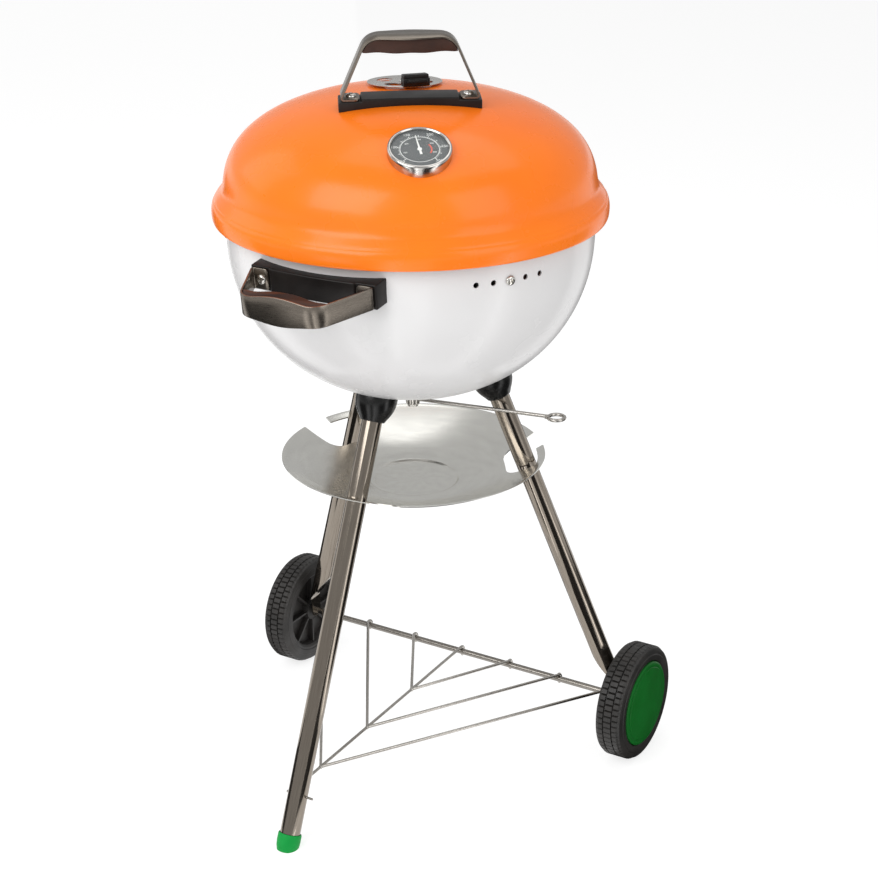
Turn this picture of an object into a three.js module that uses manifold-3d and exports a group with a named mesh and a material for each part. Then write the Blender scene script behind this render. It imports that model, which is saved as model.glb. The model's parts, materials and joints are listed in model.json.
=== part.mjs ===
// Kettle charcoal grill on three legs: an enamelled bowl and lid, an ash dish, two wheels and
// a wire rack. Millimetres, +Z up, floor at z = 0. The front leg points to -Y and the wheel
// axle lies along X. Azimuths are counted from -Y towards +X.
import * as THREE from 'three';
import { mergeVertices } from 'three/addons/utils/BufferGeometryUtils.js';
import Module from 'manifold-3d';

const wasm = await Module();
wasm.setup();

// ---------------------------------------------------------------- driving dimensions

const gap = 0.3; // air left between pieces that touch
const roundSegments = 36; // facets round the bowl, the lid and what follows them
const kettleY = 40; // the kettle's axis stands this far behind the middle of the footprint

const bowl = { radius: 224.6, depth: 205.7, shoulderZ: 718.7, wall: 2, widthPower: 0.92, depthPower: 0.969 };
const lid = { radius: 227.4, rise: 135.5, baseZ: 4.6, wall: 1.8, widthPower: 0.943, risePower: 0.684 };
const lidRimZ = 749.3; // height of the lid's widest ring
const lidTurn = THREE.MathUtils.degToRad(35.7); // how far the lid is turned on the bowl
const lidSkirt = [[228, 26], [230.8, 22], [238, 12.5], [241, 6], [242, 0], [241.5, -6], [240, -11]];
const bowlTurn = THREE.MathUtils.degToRad(2); // how far the bowl is turned on the legs
const bowlRimZ = lidRimZ + 19.5;

const tube = { radius: 12.7, wall: 1.5 };
const frontLeg = { name: 'front', azimuth: 0, floorRadius: 304.9, splay: 0.4234 };
const rearLegRight = { name: 'rear_right', azimuth: 116, floorRadius: 300.5, splay: 0.3822 };
const rearLegLeft = { ...rearLegRight, name: 'rear_left', azimuth: -116 };
const legs = [frontLeg, rearLegRight, rearLegLeft];

const wheel = { radius: 77, width: 38, x: 264.2, bore: 4.3, capRadius: 57 };
const axleRadius = 4;
const tabX = 244.4; // outer face of the flat tab at each rear leg's end
const tabThickness = 2.2;

const rackWire = 2; // wire radius
const rackFrontZ = 74;
const rackNodes = [[-228, 229], [-121, 152.7], [-12, 76.4]]; // [y of the joint, x where it meets the axle]

const dish = { radius: 168, rimZ: 420, depth: 35, centreRadius: 58, step: 3, sheet: 1.5 };

const screw = { headRadius: 6, headHeight: 3.2, shank: 2.5, hole: 2.8 };
const strip = { width: 26, thickness: 2.5, footX: 81, footLength: 22, topX: 50, rise: 74, bend: 15, footBend: 5, swell: 4.5 };
const gripDepth = 15;
const handleScrewX = 68.5;
const bracketHalf = 83.5;
const bracketWidth = 30;
const lidBracket = { x: -3, y: -55, z: 143.2, lean: 5.5 }; // lean: towards -Y, in degrees
const sideBracket = { x: 4, y: -229, z: 709, lean: 96 };

const supportAzimuths = [60, 180, 300]; // on the bowl, before it is turned
const supportHoleZ = 713;
const airHoleAngles = [-11, -5.5, 5.5, 11];
const airHoleRadius = 3.5;

const cookingGrate = { ringRadius: 206, ringWire: 3, barWire: 2.5, ringZ: 725.5, pitch: 23 };
const charcoalGrate = { ringRadius: 176, ringWire: 3, barWire: 2.5, ringZ: 611, pitch: 28 };

const lever = { azimuth: 100.5, z: 494, wire: 2.3, ringCentre: 190, ringRadius: 10.2 };
const ventAzimuths = [60, 180, 300];
const bladeAzimuths = [0, 120, 240];

const lidDamper = { x: -3, y: 41, radius: 46, sheet: 1.2, tabAzimuth: 15 };
const gauge = { offset: 172, radius: 37, height: 5.2, rise: 2.4, levelling: 4 }; // levelling: in degrees

// ---------------------------------------------------------------- materials

const finishes = {
  orangeEnamel: { color: 0xfb7d1a, roughness: 0.22, metalness: 0 },
  whiteEnamel: { color: 0xe9e9ea, roughness: 0.2, metalness: 0 },
  darkSteel: { color: 0x6b6259, roughness: 0.25, metalness: 1 },
  brushedSteel: { color: 0x8a8177, roughness: 0.38, metalness: 1 },
  galvanised: { color: 0xaeaca0, roughness: 0.45, metalness: 1 },
  wire: { color: 0x9b9690, roughness: 0.28, metalness: 1 },
  zinc: { color: 0xb9b6ae, roughness: 0.35, metalness: 1 },
  blackPlastic: { color: 0x14110f, roughness: 0.45, metalness: 0 },
  tyrePlastic: { color: 0x171615, roughness: 0.7, metalness: 0 },
  capGreen: { color: 0x00641e, roughness: 0.4, metalness: 0 },
  footGreen: { color: 0x119d44, roughness: 0.5, metalness: 0 },
  dialFace: { color: 0x2c2f30, roughness: 0.5, metalness: 0 },
  needleWhite: { color: 0xf2f2ee, roughness: 0.5, metalness: 0 },
  clearGlass: { color: 0xe8f0ee, roughness: 0.05, metalness: 0 },
};

// ---------------------------------------------------------------- solids

// Merges shared vertices, drops collapsed triangles and turns the faces outward.
function closedMesh(geometry) {
  const bare = new THREE.BufferGeometry();
  bare.setAttribute('position', geometry.getAttribute('position'));
  bare.setIndex(geometry.getIndex());
  const merged = mergeVertices(bare);
  const points = merged.getAttribute('position').array;
  const index = merged.getIndex().array;
  const triangles = [];
  let volume = 0;
  for (let i = 0; i < index.length; i += 3) {
    const [a, b, c] = [index[i], index[i + 1], index[i + 2]];
    if (a === b || b === c || c === a) continue;
    triangles.push(a, b, c);
    const [p, q, r] = [a, b, c].map((k) => new THREE.Vector3().fromArray(points, 3 * k));
    volume += p.dot(q.cross(r));
  }
  if (volume < 0) triangles.reverse();
  return { points: new Float32Array(points), triangles: new Uint32Array(triangles) };
}

function toSolid(geometry) {
  const { points, triangles } = closedMesh(geometry);
  return new wasm.Manifold(new wasm.Mesh({ numProp: 3, vertProperties: points, triVerts: triangles }));
}

function toGeometry(solid) {
  const mesh = solid.getMesh();
  const geometry = new THREE.BufferGeometry();
  geometry.setAttribute('position', new THREE.BufferAttribute(new Float32Array(mesh.vertProperties), 3));
  geometry.setIndex(new THREE.BufferAttribute(new Uint32Array(mesh.triVerts), 1));
  return geometry;
}

function join(first, ...others) {
  return toGeometry(others.reduce((sum, piece) => sum.add(toSolid(piece)), toSolid(first)));
}

function cut(body, ...tools) {
  return toGeometry(tools.reduce((rest, tool) => rest.subtract(toSolid(tool)), toSolid(body)));
}

function common(first, second) {
  return toGeometry(toSolid(first).intersect(toSolid(second)));
}

// A profile of [radius, height] points turned about +Z. It starts and ends on the axis, or
// closes on itself.
function turned(profile, segments = roundSegments) {
  const points = profile.map(([radius, height]) => new THREE.Vector2(radius, height));
  return new THREE.LatheGeometry(points, segments).rotateX(Math.PI / 2);
}

function cylinder(radius, bottom, top, segments = 16) {
  const shape = new THREE.CylinderGeometry(radius, radius, top - bottom, segments);
  return shape.rotateX(Math.PI / 2).translate(0, 0, (top + bottom) / 2);
}

function ringProfile(inner, outer, bottom, top) {
  return [[inner, bottom], [outer, bottom], [outer, top], [inner, top], [inner, bottom]];
}

function block(low, high) {
  const size = low.map((value, axis) => high[axis] - value);
  const middle = low.map((value, axis) => (high[axis] + value) / 2);
  return new THREE.BoxGeometry(...size).translate(...middle);
}

// Lays what stands on the origin along +Z onto the line from one point towards another.
function along(geometry, from, to) {
  const start = new THREE.Vector3(...from);
  const direction = new THREE.Vector3(...to).sub(start).normalize();
  const turn = new THREE.Quaternion().setFromUnitVectors(new THREE.Vector3(0, 0, 1), direction);
  return geometry.applyQuaternion(turn).translate(start.x, start.y, start.z);
}

function rod(from, to, radius, segments = 6) {
  const length = new THREE.Vector3(...from).distanceTo(new THREE.Vector3(...to));
  return along(cylinder(radius, 0, length, segments), from, to);
}

function outline(points) {
  return new THREE.Shape(points.map(([x, y]) => new THREE.Vector2(x, y)));
}

// An outline in X and Y, from one height to another.
function prismZ(shape, bottom, top) {
  const solid = new THREE.ExtrudeGeometry(shape, { depth: top - bottom, bevelEnabled: false, curveSegments: 5 });
  return solid.translate(0, 0, bottom);
}

// An outline in X and Z, reaching equally far to both sides of y = middle.
function prismY(shape, width, middle = 0) {
  return prismZ(shape, -width / 2, width / 2).rotateX(Math.PI / 2).translate(0, middle, 0);
}

// An outline in Y and Z, from one x to another.
function prismX(shape, low, high) {
  const axes = new THREE.Matrix4().makeBasis(
    new THREE.Vector3(0, 1, 0),
    new THREE.Vector3(0, 0, 1),
    new THREE.Vector3(1, 0, 0),
  );
  return prismZ(shape, low, high).applyMatrix4(axes);
}

function polar(radius, azimuth, z) {
  const angle = THREE.MathUtils.degToRad(azimuth);
  return [radius * Math.sin(angle), -radius * Math.cos(angle), z];
}

function turnZ(geometry, azimuth) {
  return geometry.rotateZ(THREE.MathUtils.degToRad(azimuth));
}

// The profile moved sideways by a distance, square to its own direction. A point on the axis
// stays on it.
function offsetProfile(points, distance) {
  return points.map(([x, y], i) => {
    const before = points[Math.max(i - 1, 0)];
    const after = points[Math.min(i + 1, points.length - 1)];
    const [dx, dy] = [after[0] - before[0], after[1] - before[1]];
    const length = Math.hypot(dx, dy);
    return [x === 0 ? 0 : x - (distance * dy) / length, y + (distance * dx) / length];
  });
}

// A strip of sheet metal: its middle line thickened to both sides.
function stripOutline(middle, thickness) {
  const left = offsetProfile(middle, thickness / 2);
  const right = offsetProfile(middle, -thickness / 2).reverse();
  return outline([...left, ...right]);
}

// A broken line with its inner corners rounded by quadratic bends, one size for each corner.
function roundedLine(points, bends, steps = 4) {
  const line = [points[0]];
  for (let i = 1; i < points.length - 1; i += 1) {
    const corner = new THREE.Vector2(...points[i]);
    const bend = bends[i - 1];
    const back = new THREE.Vector2(...points[i - 1]).sub(corner).setLength(bend).add(corner);
    const ahead = new THREE.Vector2(...points[i + 1]).sub(corner).setLength(bend).add(corner);
    const curve = new THREE.QuadraticBezierCurve(back, corner, ahead);
    line.push(...curve.getPoints(steps).map((p) => [p.x, p.y]));
  }
  line.push(points[points.length - 1]);
  return line;
}

// An arc of round wire. The arc lies in the plane of the unit vectors u and v.
class WireArc extends THREE.Curve {
  constructor(centre, u, v, radius, start, end) {
    super();
    Object.assign(this, { centre, u, v, radius, start, end });
  }

  getPoint(t, target = new THREE.Vector3()) {
    const angle = THREE.MathUtils.lerp(this.start, this.end, t);
    target.copy(this.centre);
    target.addScaledVector(this.u, this.radius * Math.cos(angle));
    return target.addScaledVector(this.v, this.radius * Math.sin(angle));
  }
}

function bentWire(curve, radius, steps) {
  const section = new THREE.Shape().absarc(0, 0, radius, 0, 2 * Math.PI);
  return new THREE.ExtrudeGeometry(section, { steps, extrudePath: curve, curveSegments: 3, bevelEnabled: false });
}

function wireRing(radius, wireRadius, z, segments = 24) {
  const section = [];
  for (let i = 0; i <= 5; i += 1) {
    const angle = (i / 5) * 2 * Math.PI;
    section.push([radius + wireRadius * Math.cos(angle), z + wireRadius * Math.sin(angle)]);
  }
  return turned(section, segments);
}

// ---------------------------------------------------------------- scene graph

const grill = new THREE.Group();
const kettle = new THREE.Group(); // origin on the floor under the kettle's axis
const lidGroup = new THREE.Group(); // origin at the centre of the lid's rim
kettle.position.y = kettleY;
lidGroup.position.z = lidRimZ;
lidGroup.rotation.z = lidTurn;
grill.add(kettle);
kettle.add(lidGroup);

const bowlGroup = new THREE.Group();
bowlGroup.rotation.z = bowlTurn;
kettle.add(bowlGroup);

// A handle's own group stands on its bracket's recessed ends.
function handlePlace(parent, { x, y, z, lean }) {
  const place = new THREE.Group();
  place.position.set(x, y, z);
  place.rotation.x = THREE.MathUtils.degToRad(lean);
  place.updateMatrix();
  parent.add(place);
  return place;
}

const sideHandle = handlePlace(bowlGroup, sideBracket);
const lidHandle = handlePlace(lidGroup, lidBracket);

function addPiece(parent, name, geometry, finish) {
  const { points, triangles } = closedMesh(geometry);
  const clean = new THREE.BufferGeometry();
  clean.setAttribute('position', new THREE.BufferAttribute(points, 3));
  clean.setIndex(new THREE.BufferAttribute(triangles, 1));
  clean.computeVertexNormals();
  const mesh = new THREE.Mesh(clean, new THREE.MeshStandardMaterial(finishes[finish]));
  mesh.name = name;
  parent.add(mesh);
  return mesh;
}

// ---------------------------------------------------------------- curves of the kettle

function bowlHeightAt(radius) {
  const cosine = (radius / bowl.radius) ** (1 / bowl.widthPower);
  return bowl.shoulderZ - bowl.depth * Math.sqrt(1 - cosine ** 2) ** bowl.depthPower;
}

// The bowl's side from its lowest point to the shoulder, grown outward by a distance.
function bowlCurve(grow, steps = 7) {
  const points = [];
  for (let i = 0; i <= steps; i += 1) {
    const angle = (Math.PI / 2) * (1 - i / steps);
    const radius = (bowl.radius + grow) * Math.max(0, Math.cos(angle)) ** bowl.widthPower;
    const drop = (bowl.depth + grow) * Math.sin(angle) ** bowl.depthPower;
    points.push([i === 0 ? 0 : radius, bowl.shoulderZ - drop]);
  }
  return points;
}

function filledBowl(grow) {
  return turned([...bowlCurve(grow), [bowl.radius + grow, bowlRimZ + 50], [0, bowlRimZ + 50]]);
}

// The lid's dome from its crown down to the top of the skirt.
function lidCurve(steps = 7) {
  const points = [];
  const lowest = Math.asin(((lidSkirt[0][1] + 4 - lid.baseZ) / lid.rise) ** (1 / lid.risePower));
  for (let i = 0; i <= steps; i += 1) {
    const angle = THREE.MathUtils.lerp(Math.PI / 2, lowest, i / steps);
    const radius = lid.radius * Math.max(0, Math.cos(angle)) ** lid.widthPower;
    points.push([i === 0 ? 0 : radius, lid.baseZ + lid.rise * Math.sin(angle) ** lid.risePower]);
  }
  return points;
}

function lidHeightAt(radius) {
  const cosine = (radius / lid.radius) ** (1 / lid.widthPower);
  return lid.baseZ + lid.rise * Math.sqrt(1 - cosine ** 2) ** lid.risePower;
}

function lidTiltAt(radius) {
  return Math.atan((lidHeightAt(radius - 1) - lidHeightAt(radius + 1)) / 2);
}

function filledLid(grow) {
  const shell = offsetProfile([...lidCurve(), ...lidSkirt], grow);
  return turned([...shell, [0, shell[shell.length - 1][1]]]);
}

// ---------------------------------------------------------------- fasteners

function panHeadScrew(length) {
  const { headRadius, headHeight, shank } = screw;
  return turned([
    [0, headHeight],
    [headRadius * 0.6, headHeight],
    [headRadius, headHeight * 0.45],
    [headRadius, 0],
    [shank, 0],
    [shank, -length],
    [0, -length],
  ], 8);
}

function hexNut(top) {
  return cut(cylinder(5.8, top - 4, top, 6), cylinder(screw.hole, top - 5, top + 1, 12));
}

// ---------------------------------------------------------------- handles

// A handle stands on z = 0, its bar along X: a bent steel strip, a plastic grip under the
// strip's bar, two screws through the strip's feet and their nuts inside the shell.
function buildHandle(parent, name, nutTop) {
  const { width, thickness, footX, footLength, topX, rise, bend, footBend, swell } = strip;
  const middle = [
    [-footX + footLength, thickness / 2],
    [-footX, thickness / 2],
    [-topX, rise],
    [topX, rise],
    [footX, thickness / 2],
    [footX - footLength, thickness / 2],
  ];
  const bar = barrelOutline(topX - bend, width / 2, swell);
  const hole = (x) => cylinder(screw.hole, -5, 8, 12).translate(x, 0, 0);
  const bent = join(
    prismY(stripOutline(roundedLine(middle, [footBend, bend, bend, footBend]), thickness), width),
    prismZ(bar, rise - thickness / 2, rise + thickness / 2),
  );
  addPiece(parent, `${name}_strip`, cut(bent, hole(-handleScrewX), hole(handleScrewX)), 'brushedSteel');

  const gripBottom = rise - thickness / 2 - gripDepth;
  const share = (gripBottom - thickness / 2) / (rise - thickness / 2);
  const lowX = THREE.MathUtils.lerp(footX, topX, share);
  const under = roundedLine([[-lowX, gripBottom], [-topX, rise], [topX, rise], [lowX, gripBottom]], [bend, bend]);
  const filling = prismY(outline(offsetProfile(under, -thickness / 2 - gap)), 2 * width);
  const plan = barrelOutline(topX + 8, width / 2 - 1, swell);
  addPiece(parent, `${name}_grip`, common(filling, prismZ(plan, gripBottom - 5, rise)), 'blackPlastic');

  for (const [side, x] of [['left', -handleScrewX], ['right', handleScrewX]]) {
    const bolt = addPiece(parent, `${name}_screw_${side}`, panHeadScrew(6 + thickness - nutTop), 'zinc');
    bolt.position.set(x, 0, thickness + gap);
    const nut = addPiece(parent, `${name}_nut_${side}`, hexNut(0), 'zinc');
    nut.position.set(x, 0, nutTop);
  }
}

// A long shape with straight ends whose sides swell in the middle.
function barrelOutline(halfLength, halfWidth, swell) {
  const shape = new THREE.Shape();
  shape.moveTo(-halfLength, -halfWidth);
  shape.quadraticCurveTo(0, -halfWidth - 2 * swell, halfLength, -halfWidth);
  shape.lineTo(halfLength, halfWidth);
  shape.quadraticCurveTo(0, halfWidth + 2 * swell, -halfLength, halfWidth);
  shape.closePath();
  return shape;
}

// The plastic bracket under a handle, from deep inside the shell up to z = 0 at its recessed
// ends, which hold the strip's feet, and 3 mm higher between them.
function bracketBlank(depth, crown) {
  const inner = strip.footX - strip.footLength - 2;
  const half = bracketWidth / 2;
  const shape = new THREE.Shape();
  shape.moveTo(-bracketHalf, -depth);
  shape.lineTo(-bracketHalf, -0.2);
  shape.lineTo(-inner, -0.2);
  shape.lineTo(-inner, 3);
  shape.quadraticCurveTo(0, 3 + 2 * crown, inner, 3);
  shape.lineTo(inner, -0.2);
  shape.lineTo(bracketHalf, -0.2);
  shape.lineTo(bracketHalf, -depth);
  shape.closePath();
  const holes = [-handleScrewX, handleScrewX].map((x) => (
    cylinder(screw.hole, -depth - 5, 10, 12).translate(x, 0, 0)
  ));
  return cut(prismY(shape, 2 * half), ...holes);
}

// ---------------------------------------------------------------- bowl

function bowlShell() {
  const rim = [
    [bowl.radius + 0.5, bowlRimZ - 6],
    [bowl.radius + 3, bowlRimZ - 4],
    [bowl.radius + 3, bowlRimZ - 2],
    [bowl.radius + 1, bowlRimZ],
    [bowl.radius - 2, bowlRimZ - 1],
  ];
  const inside = bowlCurve(-bowl.wall).reverse();
  const shell = turned([...bowlCurve(0), ...rim, ...inside]);
  const holes = [cylinder(4.3, 500, 530, 16)];
  for (const azimuth of ventAzimuths) holes.push(ventSlot(azimuth));
  for (const azimuth of supportAzimuths) {
    const hole = (offset, radius) => rod(
      polar(bowl.radius - 20, azimuth + offset, supportHoleZ),
      polar(bowl.radius + 20, azimuth + offset, supportHoleZ),
      radius,
      8,
    );
    holes.push(hole(0, screw.hole), ...airHoleAngles.map((offset) => hole(offset, airHoleRadius)));
  }
  holes.push(...handleScrewHoles(sideHandle));
  for (const leg of legs) {
    holes.push(along(cylinder(3.4, -20, 20, 8), ...legAxis(leg)).rotateZ(-bowlTurn));
  }
  return cut(shell, ...holes);
}

function handleScrewHoles(handle) {
  return [-handleScrewX, handleScrewX].map((x) => (
    cylinder(screw.hole, -60, 10, 12).translate(x, 0, 0).applyMatrix4(handle.matrix)
  ));
}

// A curved slot in the bowl's bottom that a damper blade can cover.
function ventSlot(azimuth) {
  const shape = sector(30, 67, -14, 14);
  return turnZ(prismZ(shape, 490, 600), azimuth);
}

function sector(inner, outer, from, to, steps = 3) {
  const points = [];
  for (let i = 0; i <= steps; i += 1) points.push(polar(outer, from + ((to - from) * i) / steps, 0));
  for (let i = steps; i >= 0; i -= 1) points.push(polar(inner, from + ((to - from) * i) / steps, 0));
  return outline(points);
}

addPiece(bowlGroup, 'bowl_shell', bowlShell(), 'whiteEnamel');

buildHandle(sideHandle, 'side_handle', -22);
const sideBlank = bracketBlank(60, 1.2).applyMatrix4(sideHandle.matrix);
addPiece(bowlGroup, 'side_handle_bracket', cut(sideBlank, filledBowl(gap)), 'blackPlastic');

// ---------------------------------------------------------------- grates and their supports

// A strap that follows the bowl's inside, with an upper ledge for the cooking grate and a
// lower one for the charcoal grate.
const strapLine = [[197, 721], [217, 721], [217, 704], [209, 660], [192, 620], [185, 607], [165, 607]];

supportAzimuths.forEach((azimuth, i) => {
  const place = new THREE.Group();
  place.rotation.z = THREE.MathUtils.degToRad(azimuth - 90);
  bowlGroup.add(place);
  const strap = prismY(stripOutline(roundedLine(strapLine, strapLine.slice(2).map(() => 3), 2), 2), 20);
  const hole = rod([180, 0, supportHoleZ], [240, 0, supportHoleZ], screw.hole, 12);
  addPiece(place, `grate_support_${i + 1}`, cut(strap, hole), 'galvanised');
  const bolt = addPiece(place, `grate_support_screw_${i + 1}`, panHeadScrew(9), 'zinc');
  bolt.position.set(bowl.radius + gap, 0, supportHoleZ);
  bolt.rotation.y = Math.PI / 2;
});

function grateSolid({ ringRadius, ringWire, barWire, ringZ, pitch }, crossBars) {
  const barZ = ringZ + ringWire + barWire - 1;
  const pieces = [wireRing(ringRadius, ringWire, ringZ)];
  for (let x = pitch / 2; x < ringRadius - ringWire; x += pitch) {
    const half = Math.sqrt(ringRadius ** 2 - x ** 2);
    pieces.push(rod([x, -half, barZ], [x, half, barZ], barWire, 6));
    pieces.push(rod([-x, -half, barZ], [-x, half, barZ], barWire, 6));
  }
  for (const y of crossBars) {
    const half = Math.sqrt(ringRadius ** 2 - y ** 2);
    pieces.push(rod([-half, y, ringZ], [half, y, ringZ], barWire, 6));
  }
  return join(...pieces);
}

function liftLoop(x, side) {
  const barZ = cookingGrate.ringZ + cookingGrate.ringWire + cookingGrate.barWire - 1;
  const arc = new WireArc(
    new THREE.Vector3(x * side, 0, barZ),
    new THREE.Vector3(0, 1, 0),
    new THREE.Vector3(0, 0, 1),
    30,
    0,
    Math.PI,
  );
  return bentWire(arc, cookingGrate.barWire, 10);
}

const cookingSolid = join(grateSolid(cookingGrate, [-110, 110]), liftLoop(170, 1), liftLoop(170, -1));
addPiece(kettle, 'cooking_grate', cookingSolid, 'wire');
addPiece(kettle, 'charcoal_grate', grateSolid(charcoalGrate, [-80, 80]), 'wire');

// ---------------------------------------------------------------- bottom damper

const bottomZ = bowl.shoulderZ - bowl.depth;
const bladeTop = bottomZ + bowl.wall + 3;

function sweepPlate() {
  const outer = turned([...bowlCurve(-bowl.wall - 0.5), [0, bowl.shoulderZ]]);
  const inner = turned([...bowlCurve(-bowl.wall - 2), [0, bowl.shoulderZ]]);
  const skin = cut(outer, inner);
  const blades = bladeAzimuths.map((azimuth) => turnZ(prismZ(sector(10, 71, -18, 18), 490, 560), azimuth));
  const pattern = join(cylinder(16, 490, 560, 24), ...blades);
  return cut(common(skin, pattern), cylinder(4.3, 490, 560, 16));
}

addPiece(kettle, 'damper_sweep_plate', sweepPlate(), 'galvanised');
addPiece(kettle, 'damper_pivot', turned([
  [0, lever.z - 9],
  [7, lever.z - 9],
  [7, lever.z - 6],
  [4, lever.z - 6],
  [4, bladeTop],
  [8, bladeTop],
  [8, bladeTop + 3],
  [0, bladeTop + 3],
], 16), 'zinc');

function damperLever() {
  const collar = turned(ringProfile(4.3, 9, lever.z - 5.5, lever.z + 5), 16);
  const arm = rod(polar(6.5, lever.azimuth, lever.z), polar(180, lever.azimuth, lever.z), lever.wire);
  const ring = wireRing(lever.ringRadius, lever.wire, lever.z, 20);
  return join(collar, arm, ring.translate(...polar(lever.ringCentre, lever.azimuth, 0)));
}

addPiece(kettle, 'damper_lever', damperLever(), 'wire');

// ---------------------------------------------------------------- legs

function legPoint({ azimuth, floorRadius, splay }, z) {
  return polar(floorRadius - splay * z, azimuth, z);
}

// Where the leg's axis meets the bowl, and a point further down the leg.
function legAxis(leg) {
  let z = 520;
  for (let i = 0; i < 20; i += 1) z = bowlHeightAt(leg.floorRadius - leg.splay * z);
  return [legPoint(leg, z), legPoint(leg, z - 100)];
}

function legTube(leg, lowZ) {
  const [top, down] = legAxis(leg);
  const length = new THREE.Vector3(...top).distanceTo(new THREE.Vector3(...legPoint(leg, lowZ)));
  return along(turned(ringProfile(tube.radius - tube.wall, tube.radius, 16, length), 16), top, down);
}

const rackLine = (y) => rackFrontZ + ((y + 260) / 378) * 9.4;
const rackPinZ = 62;

function frontLegTube() {
  const rodHole = rod([0, -275, rackLine(-275)], [0, -240, rackLine(-240)], rackWire + gap);
  const pinY = legPoint(frontLeg, rackPinZ)[1];
  const pinHole = rod([-30, pinY, rackPinZ], [30, pinY, rackPinZ], 1.5 + gap);
  return cut(legTube(frontLeg, 9), rodHole, pinHole);
}

const axleY = legPoint(rearLegRight, wheel.radius)[1];

// The lower end is cut on the slant and leaves a flat upright tab that the axle passes through.
function rearLegTube() {
  const slant = outline([[tabX + 20, -10], [tabX + 20, 76], [tabX - 60, 172], [tabX - 60, -10]]);
  const stub = cut(legTube(rearLegRight, 40), prismY(slant, 100, axleY), block([tabX, 60, -20], [300, 180, 300]));
  const [highZ, half] = [124, 8];
  const highY = legPoint(rearLegRight, highZ)[1];
  const tab = new THREE.Shape();
  tab.moveTo(highY - half, highZ);
  tab.lineTo(axleY - half, wheel.radius);
  tab.absarc(axleY, wheel.radius - 6, half, Math.PI, 2 * Math.PI, false);
  tab.lineTo(axleY + half, wheel.radius);
  tab.lineTo(highY + half, highZ);
  tab.closePath();
  const bore = rod([tabX - 20, axleY, wheel.radius], [tabX + 20, axleY, wheel.radius], axleRadius + gap, 16);
  return cut(join(stub, prismX(tab, tabX - tabThickness, tabX)), bore);
}

addPiece(kettle, 'front_leg', frontLegTube(), 'darkSteel');
addPiece(kettle, 'rear_leg_right', rearLegTube(), 'darkSteel');
addPiece(kettle, 'rear_leg_left', rearLegTube().scale(-1, 1, 1), 'darkSteel');

// A moulded half-ball between the bowl and the leg's top, bolted through the bowl's bottom.
for (const leg of legs) {
  const [top, down] = legAxis(leg);
  const ball = [[0, -20], [26, -20], [26, 8], [24.5, 16], [21, 23], [17.5, 28], [15, 31], [0, 31]];
  const blank = along(turned(ball, 16), top, down);
  const bore = along(cylinder(tube.radius + gap, 15, 40, 16), top, down);
  const boltHole = along(cylinder(3.4, -30, 20, 8), top, down);
  addPiece(kettle, `leg_socket_${leg.name}`, cut(blank, filledBowl(gap).rotateZ(bowlTurn), bore, boltHole), 'blackPlastic');

  const bolt = turned([[0, 13], [3, 13], [3, -4.5], [7, -4.5], [7, -7], [5, -8.5], [0, -8.5]], 8);
  addPiece(kettle, `leg_bolt_${leg.name}`, along(bolt, top, down), 'zinc');
}

// A green cap on the front leg, its sole flat on the floor.
function footCap() {
  const [sole, up] = [legPoint(frontLeg, -12), legPoint(frontLeg, 100)];
  const body = along(cylinder(14.8, 0, 32, 16), sole, up);
  const seat = legPoint(frontLeg, 8.4);
  const bore = along(cylinder(tube.radius + 0.6, 0, 60, 16), seat, up);
  return cut(body, bore, block([-60, -400, -60], [60, -200, 0]));
}

addPiece(kettle, 'foot_cap', footCap(), 'footGreen');

// ---------------------------------------------------------------- wheels and axle

const axleEnd = wheel.x + 9;
const axle = rod([-axleEnd, axleY, wheel.radius], [axleEnd, axleY, wheel.radius], axleRadius, 16);
addPiece(kettle, 'axle_rod', axle, 'zinc');

// Profiles about the axle: the first number is the radius, the second grows outward from the
// middle of the tread.
function wheelProfile() {
  const { radius, width, bore } = wheel;
  const half = width / 2;
  return [
    [bore, -half + 1],
    [14, -half + 1],
    [15, -6],
    [52, -6],
    [57, -half + 1],
    [70, -half],
    [radius, -half + 7],
    [radius, half - 7],
    [70, half],
    [wheel.capRadius + 0.6, half - 0.6],
    [wheel.capRadius + 0.6, 8],
    [30, 5],
    [bore, 5],
    [bore, -half + 1],
  ];
}

function capProfile() {
  const [edge, face] = [wheel.capRadius, wheel.width / 2];
  return [
    [0, face + 6],
    [30, face + 4.6],
    [edge - 2, face + 0.6],
    [edge, face - 1],
    [edge, 10],
    [edge - 2, 10],
    [edge - 2, face - 1.6],
    [30, face + 2.6],
    [0, face + 4],
  ];
}

for (const [side, sign] of [['right', 1], ['left', -1]]) {
  const place = new THREE.Group();
  place.position.set(sign * wheel.x, axleY, wheel.radius);
  place.rotation.y = (sign * Math.PI) / 2;
  kettle.add(place);
  addPiece(place, `wheel_${side}`, turned(wheelProfile(), 28), 'tyrePlastic');
  addPiece(place, `hubcap_${side}`, turned(capProfile(), 28), 'capGreen');
  addPiece(place, `axle_nut_${side}`, turned([
    [axleRadius + gap, 5.4],
    [9, 5.4],
    [9, 7],
    [6, 8.6],
    [axleRadius + gap, 8.6],
    [axleRadius + gap, 5.4],
  ], 12), 'zinc');
}

// ---------------------------------------------------------------- wire rack

// Wires run from joints on a centre rod to the axle and hook over it.
function wireRack() {
  const hookRadius = axleRadius + rackWire + 0.4;
  const hookTop = wheel.radius + hookRadius;
  const hook = (x) => bentWire(new WireArc(
    new THREE.Vector3(x, axleY, wheel.radius),
    new THREE.Vector3(0, 1, 0),
    new THREE.Vector3(0, 0, 1),
    hookRadius,
    Math.PI * 0.53,
    -Math.PI * 0.42,
  ), rackWire, 7);
  const centre = rod([0, -264, rackLine(-264)], [0, axleY, hookTop], rackWire);
  const pieces = [centre, hook(0)];
  for (const [y, x] of rackNodes) {
    for (const side of [-1, 1]) {
      pieces.push(rod([0, y, rackLine(y)], [side * x, axleY, hookTop], rackWire));
      pieces.push(hook(side * x));
    }
  }
  return join(...pieces);
}

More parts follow.
